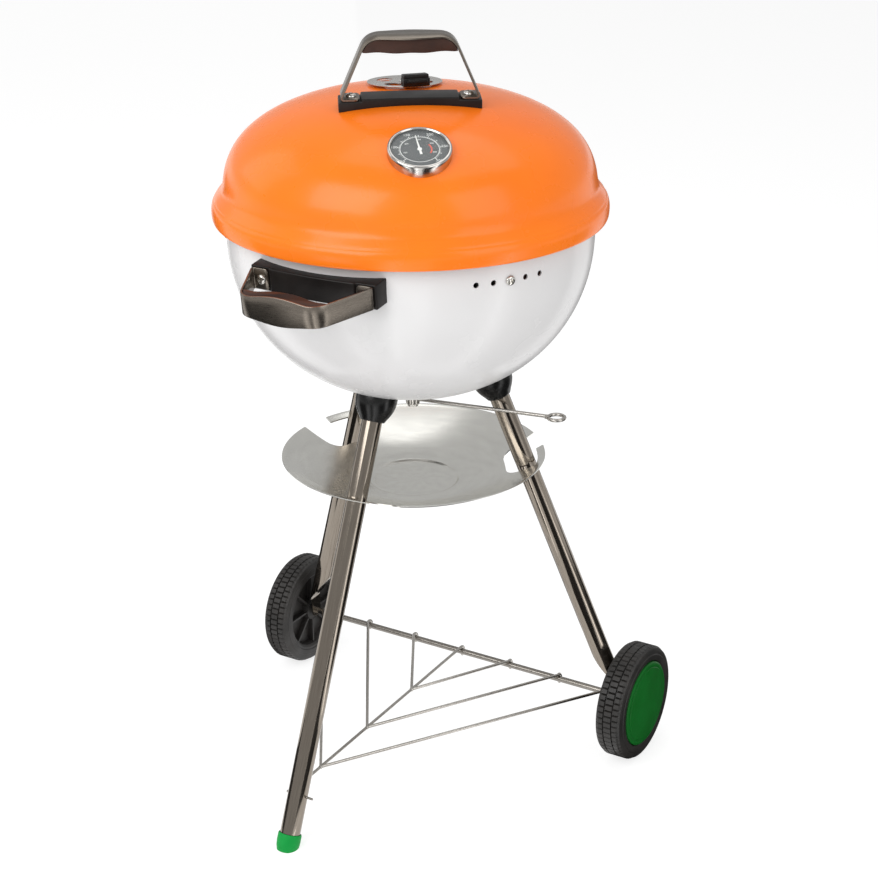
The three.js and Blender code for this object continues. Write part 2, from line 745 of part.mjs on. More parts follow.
addPiece(kettle, 'wire_rack', wireRack(), 'wire');
const pinY = legPoint(frontLeg, rackPinZ)[1];
addPiece(kettle, 'rack_pin', rod([-16, pinY, rackPinZ], [22, pinY, rackPinZ], 1.5), 'zinc');

// ---------------------------------------------------------------- ash dish

// A spun dish with a keyhole cut-out for each leg: an open mouth at the rim and a pocket beside it.
function ashDish() {
  const { radius, rimZ, depth, centreRadius, step, sheet } = dish;
  const under = [[0, rimZ - depth - step], [centreRadius - 3, rimZ - depth - step], [centreRadius, rimZ - depth]];
  for (let i = 1; i <= 6; i += 1) {
    const share = i / 6;
    under.push([centreRadius + (radius - centreRadius) * share, rimZ - depth * (1 - share ** 1.7)]);
  }
  const top = under.map(([r, z]) => [r, z + sheet]).reverse();
  const keyholes = legs.map((leg) => turnZ(prismZ(keyhole(), 360, 460), leg.azimuth));
  return cut(turned([...under, ...top]), ...keyholes);
}

function keyhole() {
  const strap = [12, 5.5, -1, -7.5].map((azimuth) => polar(158.5, azimuth, 0));
  const inner = [[128, -7.5], [119, -3], [118, 6], [119, 18], [128, 25]].map(([r, azimuth]) => polar(r, azimuth, 0));
  return outline([polar(185, 12, 0), ...strap, ...inner, polar(185, 26, 0)]);
}

addPiece(kettle, 'ash_dish', ashDish(), 'galvanised');

// ---------------------------------------------------------------- lid

const gaugePlace = new THREE.Group();
gaugePlace.position.set(0, -gauge.offset, lidHeightAt(gauge.offset) + gauge.rise);
gaugePlace.rotation.x = lidTiltAt(gauge.offset) - THREE.MathUtils.degToRad(gauge.levelling);
gaugePlace.updateMatrix();
lidGroup.add(gaugePlace);

const damperPlace = new THREE.Group();
damperPlace.position.set(lidDamper.x, lidDamper.y, lidHeightAt(lidDamper.y));
damperPlace.rotation.x = -lidTiltAt(lidDamper.y);
damperPlace.updateMatrix();
lidGroup.add(damperPlace);

// Four oval air holes round the damper's rivet, in the damper's own frame.
function damperOpenings(bottom, top) {
  return [0, 90, 180, 270].map((azimuth) => {
    const oval = new THREE.Shape();
    oval.absellipse(0, -27, 13, 9, 0, 2 * Math.PI);
    return turnZ(prismZ(oval, bottom, top), azimuth + lidDamper.tabAzimuth + 45);
  });
}

function lidShell() {
  const outer = [...lidCurve(), ...lidSkirt];
  const inner = offsetProfile(outer, -lid.wall).reverse();
  const shell = turned([...outer, ...inner]);
  const stemHole = cylinder(3.6, -20, 20, 12).applyMatrix4(gaugePlace.matrix);
  const airHoles = [cylinder(3.3, -20, 20, 12), ...damperOpenings(-20, 20)];
  return cut(shell, ...handleScrewHoles(lidHandle), stemHole, ...airHoles.map((hole) => hole.applyMatrix4(damperPlace.matrix)));
}

addPiece(lidGroup, 'lid_shell', lidShell(), 'orangeEnamel');

buildHandle(lidHandle, 'lid_handle', -13.6);
const lidBlank = bracketBlank(40, 0.3).applyMatrix4(lidHandle.matrix);
addPiece(lidGroup, 'lid_handle_bracket', cut(lidBlank, filledLid(gap)), 'blackPlastic');

// The lid's damper disc turns on a rivet; a plastic tab is clamped on its front edge.
const discBottom = 0.6;
const discTop = discBottom + lidDamper.sheet;

function damperDisc() {
  const disc = cylinder(lidDamper.radius, discBottom, discTop, 36);
  return cut(disc, cylinder(3.3, -5, 5, 12), ...damperOpenings(-5, 5));
}

addPiece(damperPlace, 'lid_damper_disc', damperDisc(), 'galvanised');
addPiece(damperPlace, 'lid_damper_rivet', turned([
  [0, -6],
  [6, -6],
  [6, -4],
  [3, -4],
  [3, discTop + gap],
  [7, discTop + gap],
  [5, discTop + 2.5],
  [0, discTop + 2.5],
], 12), 'zinc');

const tabBlock = block([-16.5, -47, discTop + gap], [16.5, -34, 16]);
const tabRib = block([-13, -49.5, 6], [13, -46, 14]);
addPiece(damperPlace, 'lid_damper_tab', turnZ(join(tabBlock, tabRib), lidDamper.tabAzimuth), 'blackPlastic');

// ---------------------------------------------------------------- thermometer

function gaugeCase() {
  const { radius, height } = gauge;
  const cup = turned([
    [3.4, -12],
    [radius, -12],
    [radius, height - 1.5],
    [radius - 1.5, height],
    [radius - 4, height],
    [radius - 4, height - 1.5],
    [radius - 2, height - 1.5],
    [radius - 2, 0],
    [3.4, 0],
    [3.4, -12],
  ], 24);
  const lidSolid = filledLid(gap).applyMatrix4(gaugePlace.matrix.clone().invert());
  return cut(cup, lidSolid);
}

addPiece(gaugePlace, 'thermometer_case', gaugeCase(), 'brushedSteel');
addPiece(gaugePlace, 'thermometer_dial', turned(ringProfile(1.3, gauge.radius - 2.4, 0.3, 0.9), 24), 'dialFace');
addPiece(gaugePlace, 'thermometer_lens', cylinder(gauge.radius - 2.4, 2.4, 3.4, 24), 'clearGlass');

const pointer = outline([[-1.6, -9], [1.6, -9], [0.5, 25], [-0.5, 25]]);
const needle = join(prismZ(pointer, 1.3, 1.7), cylinder(2.6, 1.2, 2.1, 12), cylinder(1, -1, 2, 10));
addPiece(gaugePlace, 'thermometer_needle', turnZ(needle, 8), 'needleWhite');

const stem = [[0, -62], [2, -62], [3, -58], [3, -1.3], [0, -1.3]];
addPiece(gaugePlace, 'thermometer_stem', turned(stem, 12), 'zinc');
addPiece(gaugePlace, 'thermometer_nut', cut(
  cylinder(9, -12.5, -8.5, 6),
  cylinder(3.3, -14, -1, 12),
), 'zinc');

export default grill;
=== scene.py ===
import json
import math

import bmesh
import bpy
from mathutils import Matrix, Vector


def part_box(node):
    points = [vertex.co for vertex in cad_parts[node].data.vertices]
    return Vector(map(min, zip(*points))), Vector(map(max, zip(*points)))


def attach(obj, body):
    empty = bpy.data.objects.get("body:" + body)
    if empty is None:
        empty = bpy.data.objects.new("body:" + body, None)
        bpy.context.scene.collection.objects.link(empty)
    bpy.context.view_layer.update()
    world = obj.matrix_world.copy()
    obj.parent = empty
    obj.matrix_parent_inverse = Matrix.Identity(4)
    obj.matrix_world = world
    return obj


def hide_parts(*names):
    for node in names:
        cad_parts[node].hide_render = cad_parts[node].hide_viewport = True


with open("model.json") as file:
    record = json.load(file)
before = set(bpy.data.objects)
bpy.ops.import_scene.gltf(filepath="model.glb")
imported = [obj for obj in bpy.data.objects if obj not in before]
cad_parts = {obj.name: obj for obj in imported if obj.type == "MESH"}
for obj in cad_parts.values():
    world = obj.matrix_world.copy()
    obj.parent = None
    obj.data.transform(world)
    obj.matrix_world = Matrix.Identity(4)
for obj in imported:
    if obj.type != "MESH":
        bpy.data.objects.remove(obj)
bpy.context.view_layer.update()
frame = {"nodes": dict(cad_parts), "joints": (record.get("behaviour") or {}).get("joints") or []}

# Shapes are worked out in millimetres in the grill's own frames and scaled to metres when an
# object is made. Azimuths are counted from -Y towards +X, in degrees.
MM = 0.001
scene = bpy.context.scene
joints = {joint["name"]: joint for joint in frame["joints"]}


# ------------------------------------------------------------------ places from the frame

def box_mm(node):
    return [[value / MM for value in corner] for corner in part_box(node)]


def shift(x, y, z):
    return Matrix.Translation((x, y, z))


def turn(axis, degrees):
    return Matrix.Rotation(math.radians(degrees), 4, axis)


def joint_spot(name):
    return Vector(joints[name]["pos_m"]) / MM


def joint_lean(name):
    """How far a hinge's axis leans from upright, in degrees."""
    return math.degrees(math.acos(joints[name]["axis"][2]))


bowl_low, bowl_high = box_mm("bowl_shell")
lid_low, lid_high = box_mm("lid_shell")
needle_spot = joint_spot("gauge_needle_turn")
disc_spot = joint_spot("lid_damper_turn")
wheel_spot = joint_spot("right_wheel_spin")

KETTLE_Y = (bowl_low[1] + bowl_high[1]) / 2
BOWL_RIM = bowl_high[2]
RIM_Z = lid_low[2] + 11  # the lid's widest ring
RIM_RADIUS = lid_high[1] - KETTLE_Y
LID_TURN = math.degrees(math.atan2(needle_spot.x, KETTLE_Y - needle_spot.y))
BOWL_TURN = 2
AXLE_Y = wheel_spot.y
AXLE_Z = wheel_spot.z

KETTLE = shift(0, KETTLE_Y, 0)
BOWL = KETTLE @ turn("Z", BOWL_TURN)
LID = shift(0, KETTLE_Y, RIM_Z) @ turn("Z", LID_TURN)
SIDE_HANDLE = BOWL @ shift(4, -229, 709) @ turn("X", 96)
LID_HANDLE = LID @ shift(-3, -55, 143.2) @ turn("X", 5.5)
GAUGE = Matrix.Translation(needle_spot) @ turn("Z", LID_TURN) @ turn("X", joint_lean("gauge_needle_turn"))
DISC = Matrix.Translation(disc_spot) @ turn("Z", LID_TURN) @ turn("X", -joint_lean("lid_damper_turn"))

BOWL_CURVE = {"radius": 224.6, "shoulder_z": 718.7, "depth": 205.7, "width_power": 0.92, "depth_power": 0.969}
LID_CURVE = {"radius": 227.4, "base_z": 4.6, "rise": 135.5, "width_power": 0.943, "rise_power": 0.684}

LEGS = {  # azimuth, radius of the axis on the floor, splay
    "front": (0, 304.9, 0.4234),
    "rear_right": (116, 300.5, 0.3822),
    "rear_left": (-116, 300.5, 0.3822),
}
TUBE_RADIUS = 12.7


def polar(radius, azimuth, z=0):
    angle = math.radians(azimuth)
    return Vector((radius * math.sin(angle), -radius * math.cos(angle), z))


# ------------------------------------------------------------------ camera, light and floor

CAMERA_PLACE = Vector((1.26885, -1.98226, 1.42974))
CAMERA_FORWARD = Vector((-0.48057, 0.78863, -0.38357))
CAMERA_PAN = -0.034
CAMERA_ROLL = -0.366
CAMERA_LENS = 83.14


def add_camera():
    camera = bpy.data.objects.new("camera", bpy.data.cameras.new("camera"))
    scene.collection.objects.link(camera)
    camera.data.sensor_width = 36
    camera.data.lens = CAMERA_LENS
    camera.data.clip_end = 50
    forward = turn("Z", CAMERA_PAN) @ CAMERA_FORWARD
    facing = forward.to_track_quat("-Z", "Y").to_matrix().to_4x4()
    camera.matrix_world = Matrix.Translation(CAMERA_PLACE) @ facing @ turn("Z", CAMERA_ROLL)
    scene.camera = camera


def area_light(name, place, target, size, power, colour=(1, 1, 1)):
    light = bpy.data.lights.new(name, "AREA")
    light.shape = "RECTANGLE"
    light.size, light.size_y = size
    light.energy = power
    light.color = colour
    lamp = bpy.data.objects.new(name, light)
    scene.collection.objects.link(lamp)
    lamp.location = place
    lamp.rotation_euler = (Vector(target) - Vector(place)).to_track_quat("-Z", "Y").to_euler()


def plain_material(name, colour, glow=0.0):
    paint = bpy.data.materials.new(name)
    paint.use_nodes = True
    shader = paint.node_tree.nodes["Principled BSDF"]
    shader.inputs["Base Color"].default_value = (*colour, 1)
    shader.inputs["Roughness"].default_value = 0.9
    shader.inputs["Emission Color"].default_value = (1, 1, 1, 1)
    shader.inputs["Emission Strength"].default_value = glow
    return paint


def stage_plane(name, corners, material):
    mesh = bpy.data.meshes.new(name)
    mesh.from_pydata(corners, [], [(0, 1, 2, 3)])
    mesh.materials.append(material)
    plane = bpy.data.objects.new(name, mesh)
    scene.collection.objects.link(plane)
    return plane


def reflector(name, start, end, near, far, glow):
    """A card on the floor between two azimuths that only shows in reflections."""
    corners = [polar(near, start), polar(far, start), polar(far, end), polar(near, end)]
    corners = [(corner.x, corner.y, 0.004) for corner in corners]
    card = stage_plane(name, corners, plain_material(name, (0.004, 0.004, 0.004), glow))
    card.visible_camera = False
    card.visible_diffuse = False
    card.visible_shadow = False
    card.visible_transmission = False


def add_studio():
    world = bpy.data.worlds.new("studio")
    world.use_nodes = True
    world.node_tree.nodes["Background"].inputs["Color"].default_value = (1, 1, 1, 1)
    world.node_tree.nodes["Background"].inputs["Strength"].default_value = 0.5
    scene.world = world
    scene.view_settings.view_transform = "Standard"
    area_light("key_light", (-0.5, -2.7, 2.5), (0, 0, 0.7), (2.4, 2.2), 62)
    area_light("left_light", (-2.6, -0.4, 2.1), (0, 0, 0.7), (1.6, 2.0), 8)
    area_light("right_light", (2.5, -0.6, 1.9), (0, 0, 0.7), (1.6, 2.0), 16)
    area_light("top_light", (0.1, 0.6, 3.2), (0, 0, 0.6), (2.6, 2.2), 20)
    half = 45
    floor_corners = [(-half, -half, 0), (half, -half, 0), (half, half, 0), (-half, half, 0)]
    stage_plane("floor", floor_corners, plain_material("floor", (0.36, 0.36, 0.36), 0.76))
    for start, end in ((-68, -22), (2, 16), (44, 78), (100, 150), (176, 214), (238, 262)):
        reflector(f"black_card_{start}", start, end, 0.3, 6, 0)
    for start, end in ((20, 25), (86, 91), (-14, -10)):
        reflector(f"bright_card_{start}", start, end, 0.3, 6, 3.2)


add_camera()
add_studio()


# ------------------------------------------------------------------ materials

class Look:
    """A procedural finish: constant values sit on the shader's sockets, textures vary the rest."""

    def __init__(self, name, slot, colour, roughness, metallic=0.0, **sockets):
        self.slot = slot
        self.material = bpy.data.materials.new(name)
        self.material.use_nodes = True
        self.nodes = self.material.node_tree.nodes
        self.links = self.material.node_tree.links
        self.shader = self.nodes["Principled BSDF"]
        self.colour = colour
        self.shader.inputs["Base Color"].default_value = (*colour, 1)
        self.shader.inputs["Roughness"].default_value = roughness
        self.shader.inputs["Metallic"].default_value = metallic
        for socket, value in sockets.items():
            self.shader.inputs[socket.replace("_", " ")].default_value = value
        self.height = None

    def _noise(self, scale, detail, stretch, along):
        if along:
            source = self.nodes.new("ShaderNodeUVMap")
            source.uv_map = "along"
            vector = source.outputs["UV"]
        else:
            vector = self.nodes.new("ShaderNodeTexCoord").outputs["Object"]
        mapping = self.nodes.new("ShaderNodeMapping")
        mapping.inputs["Scale"].default_value = stretch
        self.links.new(vector, mapping.inputs["Vector"])
        noise = self.nodes.new("ShaderNodeTexNoise")
        noise.inputs["Scale"].default_value = scale
        noise.inputs["Detail"].default_value = detail
        self.links.new(mapping.outputs["Vector"], noise.inputs["Vector"])
        return noise.outputs["Fac"]

    def _ramp(self, value, stops):
        ramp = self.nodes.new("ShaderNodeValToRGB")
        elements = ramp.color_ramp.elements
        while len(elements) < len(stops):
            elements.new(0.5)
        for element, (position, colour) in zip(elements, stops):
            element.position = position
            element.color = (*colour, 1)
        self.links.new(value, ramp.inputs["Fac"])
        return ramp.outputs["Color"]

    def mottle(self, other, scale, detail=4, stretch=(1, 1, 1), along=False, span=(0.35, 0.65)):
        """The colour drifts towards another one in soft patches or streaks."""
        noise = self._noise(scale, detail, stretch, along)
        stops = [(span[0], self.colour), (span[1], other)]
        self.links.new(self._ramp(noise, stops), self.shader.inputs["Base Color"])
        return self

    def smudge(self, low, high, scale, detail=4, stretch=(1, 1, 1), along=False, span=(0.3, 0.7)):
        """The roughness drifts between two values."""
        noise = self._noise(scale, detail, stretch, along)
        grey = self._ramp(noise, [(span[0], (low,) * 3), (span[1], (high,) * 3)])
        self.links.new(grey, self.shader.inputs["Roughness"])
        return self

    def bump(self, scale, distance, detail=3, stretch=(1, 1, 1), along=False):
        """Fine relief, its height in metres. Each call lies on the one before."""
        node = self.nodes.new("ShaderNodeBump")
        node.inputs["Distance"].default_value = distance
        self.links.new(self._noise(scale, detail, stretch, along), node.inputs["Height"])
        if self.height:
            self.links.new(self.height, node.inputs["Normal"])
        self.height = node.outputs["Normal"]
        self.links.new(self.height, self.shader.inputs["Normal"])
        return self


def metal(name, slot, colour, other, roughness, streak=(3, 60, 1), relief=0.00002):
    """Brushed or drawn metal: streaks run along the piece's own length."""
    low, high = roughness
    look = Look(name, slot, colour, low, 1.0)
    look.mottle(other, 6, 5, streak, along=True)
    look.smudge(low, high, 9, 6, streak, along=True)
    look.bump(14, relief, 4, streak, along=True)
    return look


def moulded(name, slot, colour, other, roughness, grain=900, relief=0.00003, **sockets):
    """Moulded plastic with a fine grain and slightly uneven gloss."""
    low, high = roughness
    look = Look(name, slot, colour, low, 0.0, **sockets)
    look.mottle(other, 26, 5)
    look.smudge(low, high, 40, 5)
    look.bump(grain, relief, 2)
    return look


def enamel(name, slot, colour, other, roughness):
    """Fired enamel: deep gloss with a faint orange peel."""
    low, high = roughness
    look = Look(name, slot, colour, low, 0.0, Specular_IOR_Level=0.3, Coat_Weight=0.14,
                Coat_Roughness=0.12)
    look.mottle(other, 5, 3)
    look.smudge(low, high, 14, 4)
    look.bump(150, 0.00003, 2)
    look.bump(24, 0.00006, 2)
    return look


ORANGE = enamel("orange_enamel", "orange_enamel", (0.93, 0.178, 0.005), (0.975, 0.208, 0.007), (0.22, 0.32))
WHITE = enamel("white_enamel", "white_enamel", (0.69, 0.68, 0.68), (0.73, 0.725, 0.725), (0.2, 0.3))
LEG_STEEL = metal("leg_steel", "dark_steel", (0.25, 0.215, 0.18), (0.33, 0.29, 0.245), (0.07, 0.13),
                  (0.5, 40, 1), 0.000006)
BRUSHED = metal("brushed_steel", "brushed_strip", (0.17, 0.147, 0.122), (0.25, 0.22, 0.187), (0.24, 0.34),
                (0.8, 260, 1), 0.000008)
BEZEL = metal("bezel_steel", "bezel_steel", (0.5, 0.48, 0.45), (0.62, 0.6, 0.57), (0.12, 0.22))
GALVANISED = metal("galvanised", "galvanised", (0.42, 0.42, 0.4), (0.52, 0.52, 0.5), (0.35, 0.5), (8, 9, 1))
WIRE = metal("plated_wire", "wire", (0.42, 0.4, 0.37), (0.6, 0.57, 0.53), (0.14, 0.26), (2, 30, 1))
ZINC = metal("zinc", "zinc", (0.62, 0.6, 0.56), (0.74, 0.72, 0.68), (0.16, 0.3), (6, 20, 1))
AXLE = metal("axle_steel", "zinc", (0.24, 0.22, 0.2), (0.34, 0.32, 0.29), (0.16, 0.26), (2, 30, 1),
             0.000006)
# The ash dish's base colour is painted lighter than the damper disc's aluminium. This is painted light that
# makes up for the shade the dish sits in under the bowl.
DISH_SHEET_PAINTED_LIGHT = metal("dish_sheet_painted_light", "dish_aluminium", (0.76, 0.75, 0.71), (0.81, 0.8, 0.755), (0.22, 0.27),
                   (1.2, 1.4, 1), 0.000002)
DISC_SHEET = metal("disc_sheet", "dish_aluminium", (0.55, 0.53, 0.5), (0.66, 0.64, 0.61), (0.22, 0.34),
                   (3, 8, 1))
BLACK = moulded("black_plastic", "black_plastic", (0.007, 0.0055, 0.005), (0.013, 0.010, 0.009), (0.3, 0.42),
                 Specular_IOR_Level=0.28)
GRIP = moulded("grip_plastic", "grip_plastic", (0.028, 0.012, 0.008), (0.05, 0.018, 0.010), (0.3, 0.42),
                Specular_IOR_Level=0.3)
SOCKET = moulded("socket_plastic", "socket_plastic", (0.004, 0.004, 0.004), (0.007, 0.007, 0.007), (0.2, 0.3),
                  Specular_IOR_Level=0.35)
TYRE = moulded("tyre_plastic", "tyre_plastic", (0.012, 0.011, 0.010), (0.026, 0.023, 0.021), (0.42, 0.62),
                1400, 0.00006, Specular_IOR_Level=0.5)
CAP_GREEN = moulded("cap_green", "cap_green", (0.002, 0.105, 0.010), (0.003, 0.125, 0.014), (0.34, 0.46),
                   Specular_IOR_Level=0.14)
FOOT_GREEN = moulded("foot_green", "foot_green", (0.004, 0.29, 0.048), (0.007, 0.34, 0.06), (0.4, 0.55),
                    Specular_IOR_Level=0.16)
DIAL = moulded("dial_face", "dial_face", (0.028, 0.033, 0.036), (0.045, 0.05, 0.052), (0.4, 0.5))
PRINT = moulded("dial_print", "dial_face", (0.72, 0.74, 0.72), (0.8, 0.8, 0.78), (0.45, 0.55))
PRINT_RED = moulded("dial_print_red", "dial_face", (0.62, 0.03, 0.012), (0.75, 0.09, 0.02), (0.45, 0.55))
NEEDLE = moulded("needle_white", "needle_white", (0.86, 0.86, 0.82), (0.9, 0.9, 0.88), (0.35, 0.45))
GLASS = Look("lens_glass", "lens_glass", (0.9, 0.95, 0.94), 0.03, 0.0, Alpha=0.05).smudge(0.02, 0.06, 30)


# ------------------------------------------------------------------ mesh tools

def along_map(bm):
    return bm.loops.layers.uv.get("along") or bm.loops.layers.uv.new("along")


def quad(bm, verts, uvs):
    """A face with its own map; repeated corners are dropped."""
    kept = [i for i, vert in enumerate(verts) if vert not in verts[:i]]
    if len(kept) < 3:
        return
    face = bm.faces.new([verts[i] for i in kept])
    layer = along_map(bm)
    for loop, i in zip(face.loops, kept):
        loop[layer].uv = uvs[i]


def cap(bm, verts):
    """Closes an end with one flat face, mapped by its own shape."""
    face = bm.faces.new(verts)
    layer = along_map(bm)
    for loop in face.loops:
        loop[layer].uv = (loop.vert.co.x / 100, loop.vert.co.y / 100)


def skin(rings, bm=None, closed=False, ends=True, streak_across=False):
    """Joins rings of points into one surface. Map units are a tenth of a metre."""
    bm = bm or bmesh.new()
    layers = []
    for ring in rings:
        points = [ring[0]] if len(ring) == 1 else ring
        layers.append([bm.verts.new(point) for point in points])
    travelled = [0.0]
    for low, high in zip(rings, rings[1:] + rings[:1]):
        travelled.append(travelled[-1] + (Vector(high[0]) - Vector(low[0])).length / 100)
    size = max(len(ring) for ring in rings)
    widest = max(rings, key=len)
    girth = sum((Vector(widest[i]) - Vector(widest[i - 1])).length for i in range(len(widest))) / 100
    pairs = list(zip(layers, layers[1:] + layers[:1]))
    for k, (low, high) in enumerate(pairs if closed else pairs[:-1]):
        for i in range(size):
            j = (i + 1) % size
            verts = [low[i % len(low)], low[j % len(low)], high[j % len(high)], high[i % len(high)]]
            around = [girth * i / size, girth * (i + 1) / size]
            uvs = [(travelled[k], around[0]), (travelled[k], around[1]),
                   (travelled[k + 1], around[1]), (travelled[k + 1], around[0])]
            if streak_across:
                uvs = [(v, u) for u, v in uvs]
            quad(bm, verts, uvs)
    if ends and not closed:
        for layer in (layers[0], layers[-1]):
            if len(layer) > 2:
                cap(bm, layer)
    return bm


def lathe(profile, segments=128, streak_across=True):
    """A profile of (radius, height) turned about +Z. It closes on itself or ends on the axis."""
    closed = tuple(profile[0]) == tuple(profile[-1])
    rings = []
    for radius, z in profile[:-1] if closed else profile:
        if radius < 1e-6:
            rings.append([Vector((0, 0, z))])
        else:
            rings.append([polar(radius, 360 * i / segments, z) for i in range(segments)])
    return skin(rings, None, closed, ends=False, streak_across=streak_across)


def tube(path, radius, sides=12, closed=False, bm=None):
    """Round wire along a path of points, with its section carried along without twist."""
    path = [Vector(point) for point in path]
    count = len(path)
    tangents = []
    for i in range(count):
        before = path[i - 1] if i or closed else path[0]
        after = path[(i + 1) % count] if i < count - 1 or closed else path[-1]
        tangents.append((after - before).normalized())
    normal = tangents[0].orthogonal().normalized()
    rings = []
    for point, tangent in zip(path, tangents):
        normal = (normal - tangent * normal.dot(tangent)).normalized()
        side = tangent.cross(normal)
        angles = [2 * math.pi * i / sides for i in range(sides)]
        rings.append([point + radius * (math.cos(a) * normal + math.sin(a) * side) for a in angles])
    return skin(rings, bm, closed)


def prism(outline, bottom, top):
    """An outline in X and Y between two heights."""
    low = [Vector((x, y, bottom)) for x, y in outline]
    high = [Vector((x, y, top)) for x, y in outline]
    return skin([low, high])


def prism_xz(outline, half_width):
    """An outline in X and Z. half_width is a number, or gives one for each x."""
    width = half_width if callable(half_width) else lambda x: half_width
    front = [Vector((x, -width(x), z)) for x, z in outline]
    back = [Vector((x, width(x), z)) for x, z in outline]
    return skin([front, back])


def block(low, high):
    """A box between two opposite corners."""
    (x0, y0, z0), (x1, y1, z1) = low, high
    return prism([(x0, y0), (x1, y0), (x1, y1), (x0, y1)], z0, z1)


def moved(bm, place):
    bm.transform(place)
    return bm


def merged(*parts):
    whole = parts[0]
    for part in parts[1:]:
        mesh = bpy.data.meshes.new("part")
        part.to_mesh(mesh)
        whole.from_mesh(mesh)
    return whole


def tidy_normals(bm):
    bmesh.ops.recalc_face_normals(bm, faces=bm.faces)
    return bm


def temporary(bm, name):
    mesh = bpy.data.meshes.new(name)
    tidy_normals(bm).to_mesh(mesh)
    piece = bpy.data.objects.new(name, mesh)
    scene.collection.objects.link(piece)
    return piece


def boolean(body, *tools):
    """Cuts closed tools out of a closed body, one after another, and gives a new mesh."""
    subject = temporary(body, "subject")
    cutters = []
    for tool in tools:
        cutter = temporary(tool, "cutter")
        modifier = subject.modifiers.new("cut", "BOOLEAN")
        modifier.object = cutter
        modifier.operation = "DIFFERENCE"
        modifier.solver = "EXACT"
        cutters.append(cutter)
    bpy.context.view_layer.update()
    result = bmesh.new()
    result.from_mesh(subject.evaluated_get(bpy.context.evaluated_depsgraph_get()).to_mesh())
    for piece in [subject, *cutters]:
        bpy.data.objects.remove(piece)
    return result


def bevelled(bm, width, segments=3, sharper_than=40):
    """Rounds the edges that are sharper than an angle."""
    tidy_normals(bm)
    limit = math.radians(sharper_than)
    edges = [edge for edge in bm.edges if edge.is_manifold and edge.calc_face_angle() > limit]
    bmesh.ops.bevel(bm, geom=edges, offset=width, segments=segments, profile=0.5, affect="EDGES",
                    clamp_overlap=True)
    return bm


def arc(centre, radius, start, end, steps):
    """Points on a flat arc, angles in degrees from +X towards +Y."""
    angles = [math.radians(start + (end - start) * i / steps) for i in range(steps + 1)]
    return [(centre[0] + radius * math.cos(a), centre[1] + radius * math.sin(a)) for a in angles]


def rounded(points, bends, steps=10):
    """A broken line, flat or in space, with its inner corners rounded by quadratic bends."""
    points = [Vector(point) for point in points]
    line = [points[0]]
    for i, bend in enumerate(bends, 1):
        corner = points[i]
        back = corner + (points[i - 1] - corner).normalized() * bend
        ahead = corner + (points[i + 1] - corner).normalized() * bend
        for k in range(steps + 1):
            t = k / steps
            line.append(back * (1 - t) ** 2 + corner * 2 * t * (1 - t) + ahead * t ** 2)
    line.append(points[-1])
    return line


def offset(points, distance):
    """A flat line moved sideways. A point on the axis stays on it."""
    result = []
    for i, point in enumerate(points):
        before = points[max(i - 1, 0)]
        after = points[min(i + 1, len(points) - 1)]
        dx, dy = after[0] - before[0], after[1] - before[1]
        length = math.hypot(dx, dy)
        x = point[0] - distance * dy / length if abs(point[0]) > 1e-6 else 0.0
        result.append((x, point[1] + distance * dx / length))
    return result


def smooth_line(points, steps=5):
    """A curve through points, flat."""
    result = []
    count = len(points)
    for i in range(count - 1):
        p = [Vector(points[min(max(i + k, 0), count - 1)]) for k in (-1, 0, 1, 2)]
        for k in range(steps):
            t = k / steps
            value = 0.5 * (2 * p[1] + (p[2] - p[0]) * t + (2 * p[0] - 5 * p[1] + 4 * p[2] - p[3]) * t ** 2
                           + (3 * p[1] - p[0] - 3 * p[2] + p[3]) * t ** 3)
            result.append(tuple(value))
    result.append(tuple(points[-1]))
    return result


def add(name, bm, look, body, at=KETTLE, replaces=(), sharp=35):
    """Makes the piece in metres, smooth but for edges sharper than an angle."""
    mesh = bpy.data.meshes.new(name)
    bm.transform(Matrix.Scale(MM, 4) @ at)
    bmesh.ops.remove_doubles(bm, verts=bm.verts, dist=1e-7)
    bmesh.ops.dissolve_degenerate(bm, edges=bm.edges, dist=1e-7)
    tidy_normals(bm)
    bm.to_mesh(mesh)
    bm.free()
    mesh.materials.clear()
    mesh.materials.append(look.material)
    for polygon in mesh.polygons:
        polygon.use_smooth = True
        polygon.material_index = 0
    mesh.set_sharp_from_angle(angle=math.radians(sharp))
    piece = bpy.data.objects.new(name, mesh)
    scene.collection.objects.link(piece)
    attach(piece, body)
    if replaces:
        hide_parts(*([replaces] if isinstance(replaces, str) else replaces))
    return piece


def repaint(look, *nodes):
    """Gives a CAD node that stays a procedural finish."""
    for node in nodes:
        piece = frame["nodes"][node]
        if not piece.material_slots:
            piece.data.materials.append(look.material)
        for slot in piece.material_slots:
            slot.material = look.material


# ------------------------------------------------------------------ kettle curves

def bowl_radius_height(angle, grow=0.0):
    radius = (BOWL_CURVE["radius"] + grow) * max(0.0, math.cos(angle)) ** BOWL_CURVE["width_power"]
    drop = (BOWL_CURVE["depth"] + grow) * math.sin(angle) ** BOWL_CURVE["depth_power"]
    return radius, BOWL_CURVE["shoulder_z"] - drop


def bowl_curve(grow=0.0, steps=48):
    """From the lowest point up to the shoulder."""
    points = [bowl_radius_height(math.pi / 2 * (1 - i / steps), grow) for i in range(steps + 1)]
    return [(0.0, points[0][1]), *points[1:]]


def bowl_height_at(radius):
    cosine = (radius / BOWL_CURVE["radius"]) ** (1 / BOWL_CURVE["width_power"])
    drop = BOWL_CURVE["depth"] * math.sqrt(1 - cosine ** 2) ** BOWL_CURVE["depth_power"]
    return BOWL_CURVE["shoulder_z"] - drop


def lid_height_at(radius):
    cosine = (radius / LID_CURVE["radius"]) ** (1 / LID_CURVE["width_power"])
    share = math.sqrt(max(0.0, 1 - cosine ** 2)) ** LID_CURVE["rise_power"]
    return LID_CURVE["base_z"] + LID_CURVE["rise"] * share


def lid_curve(steps=44):
    """From the crown down to the top of the skirt."""
    radii = [226 * math.sin(math.pi / 2 * i / steps) ** 0.9 for i in range(steps + 1)]
    return [(radius, lid_height_at(radius)) for radius in radii if lid_height_at(radius) > 33]


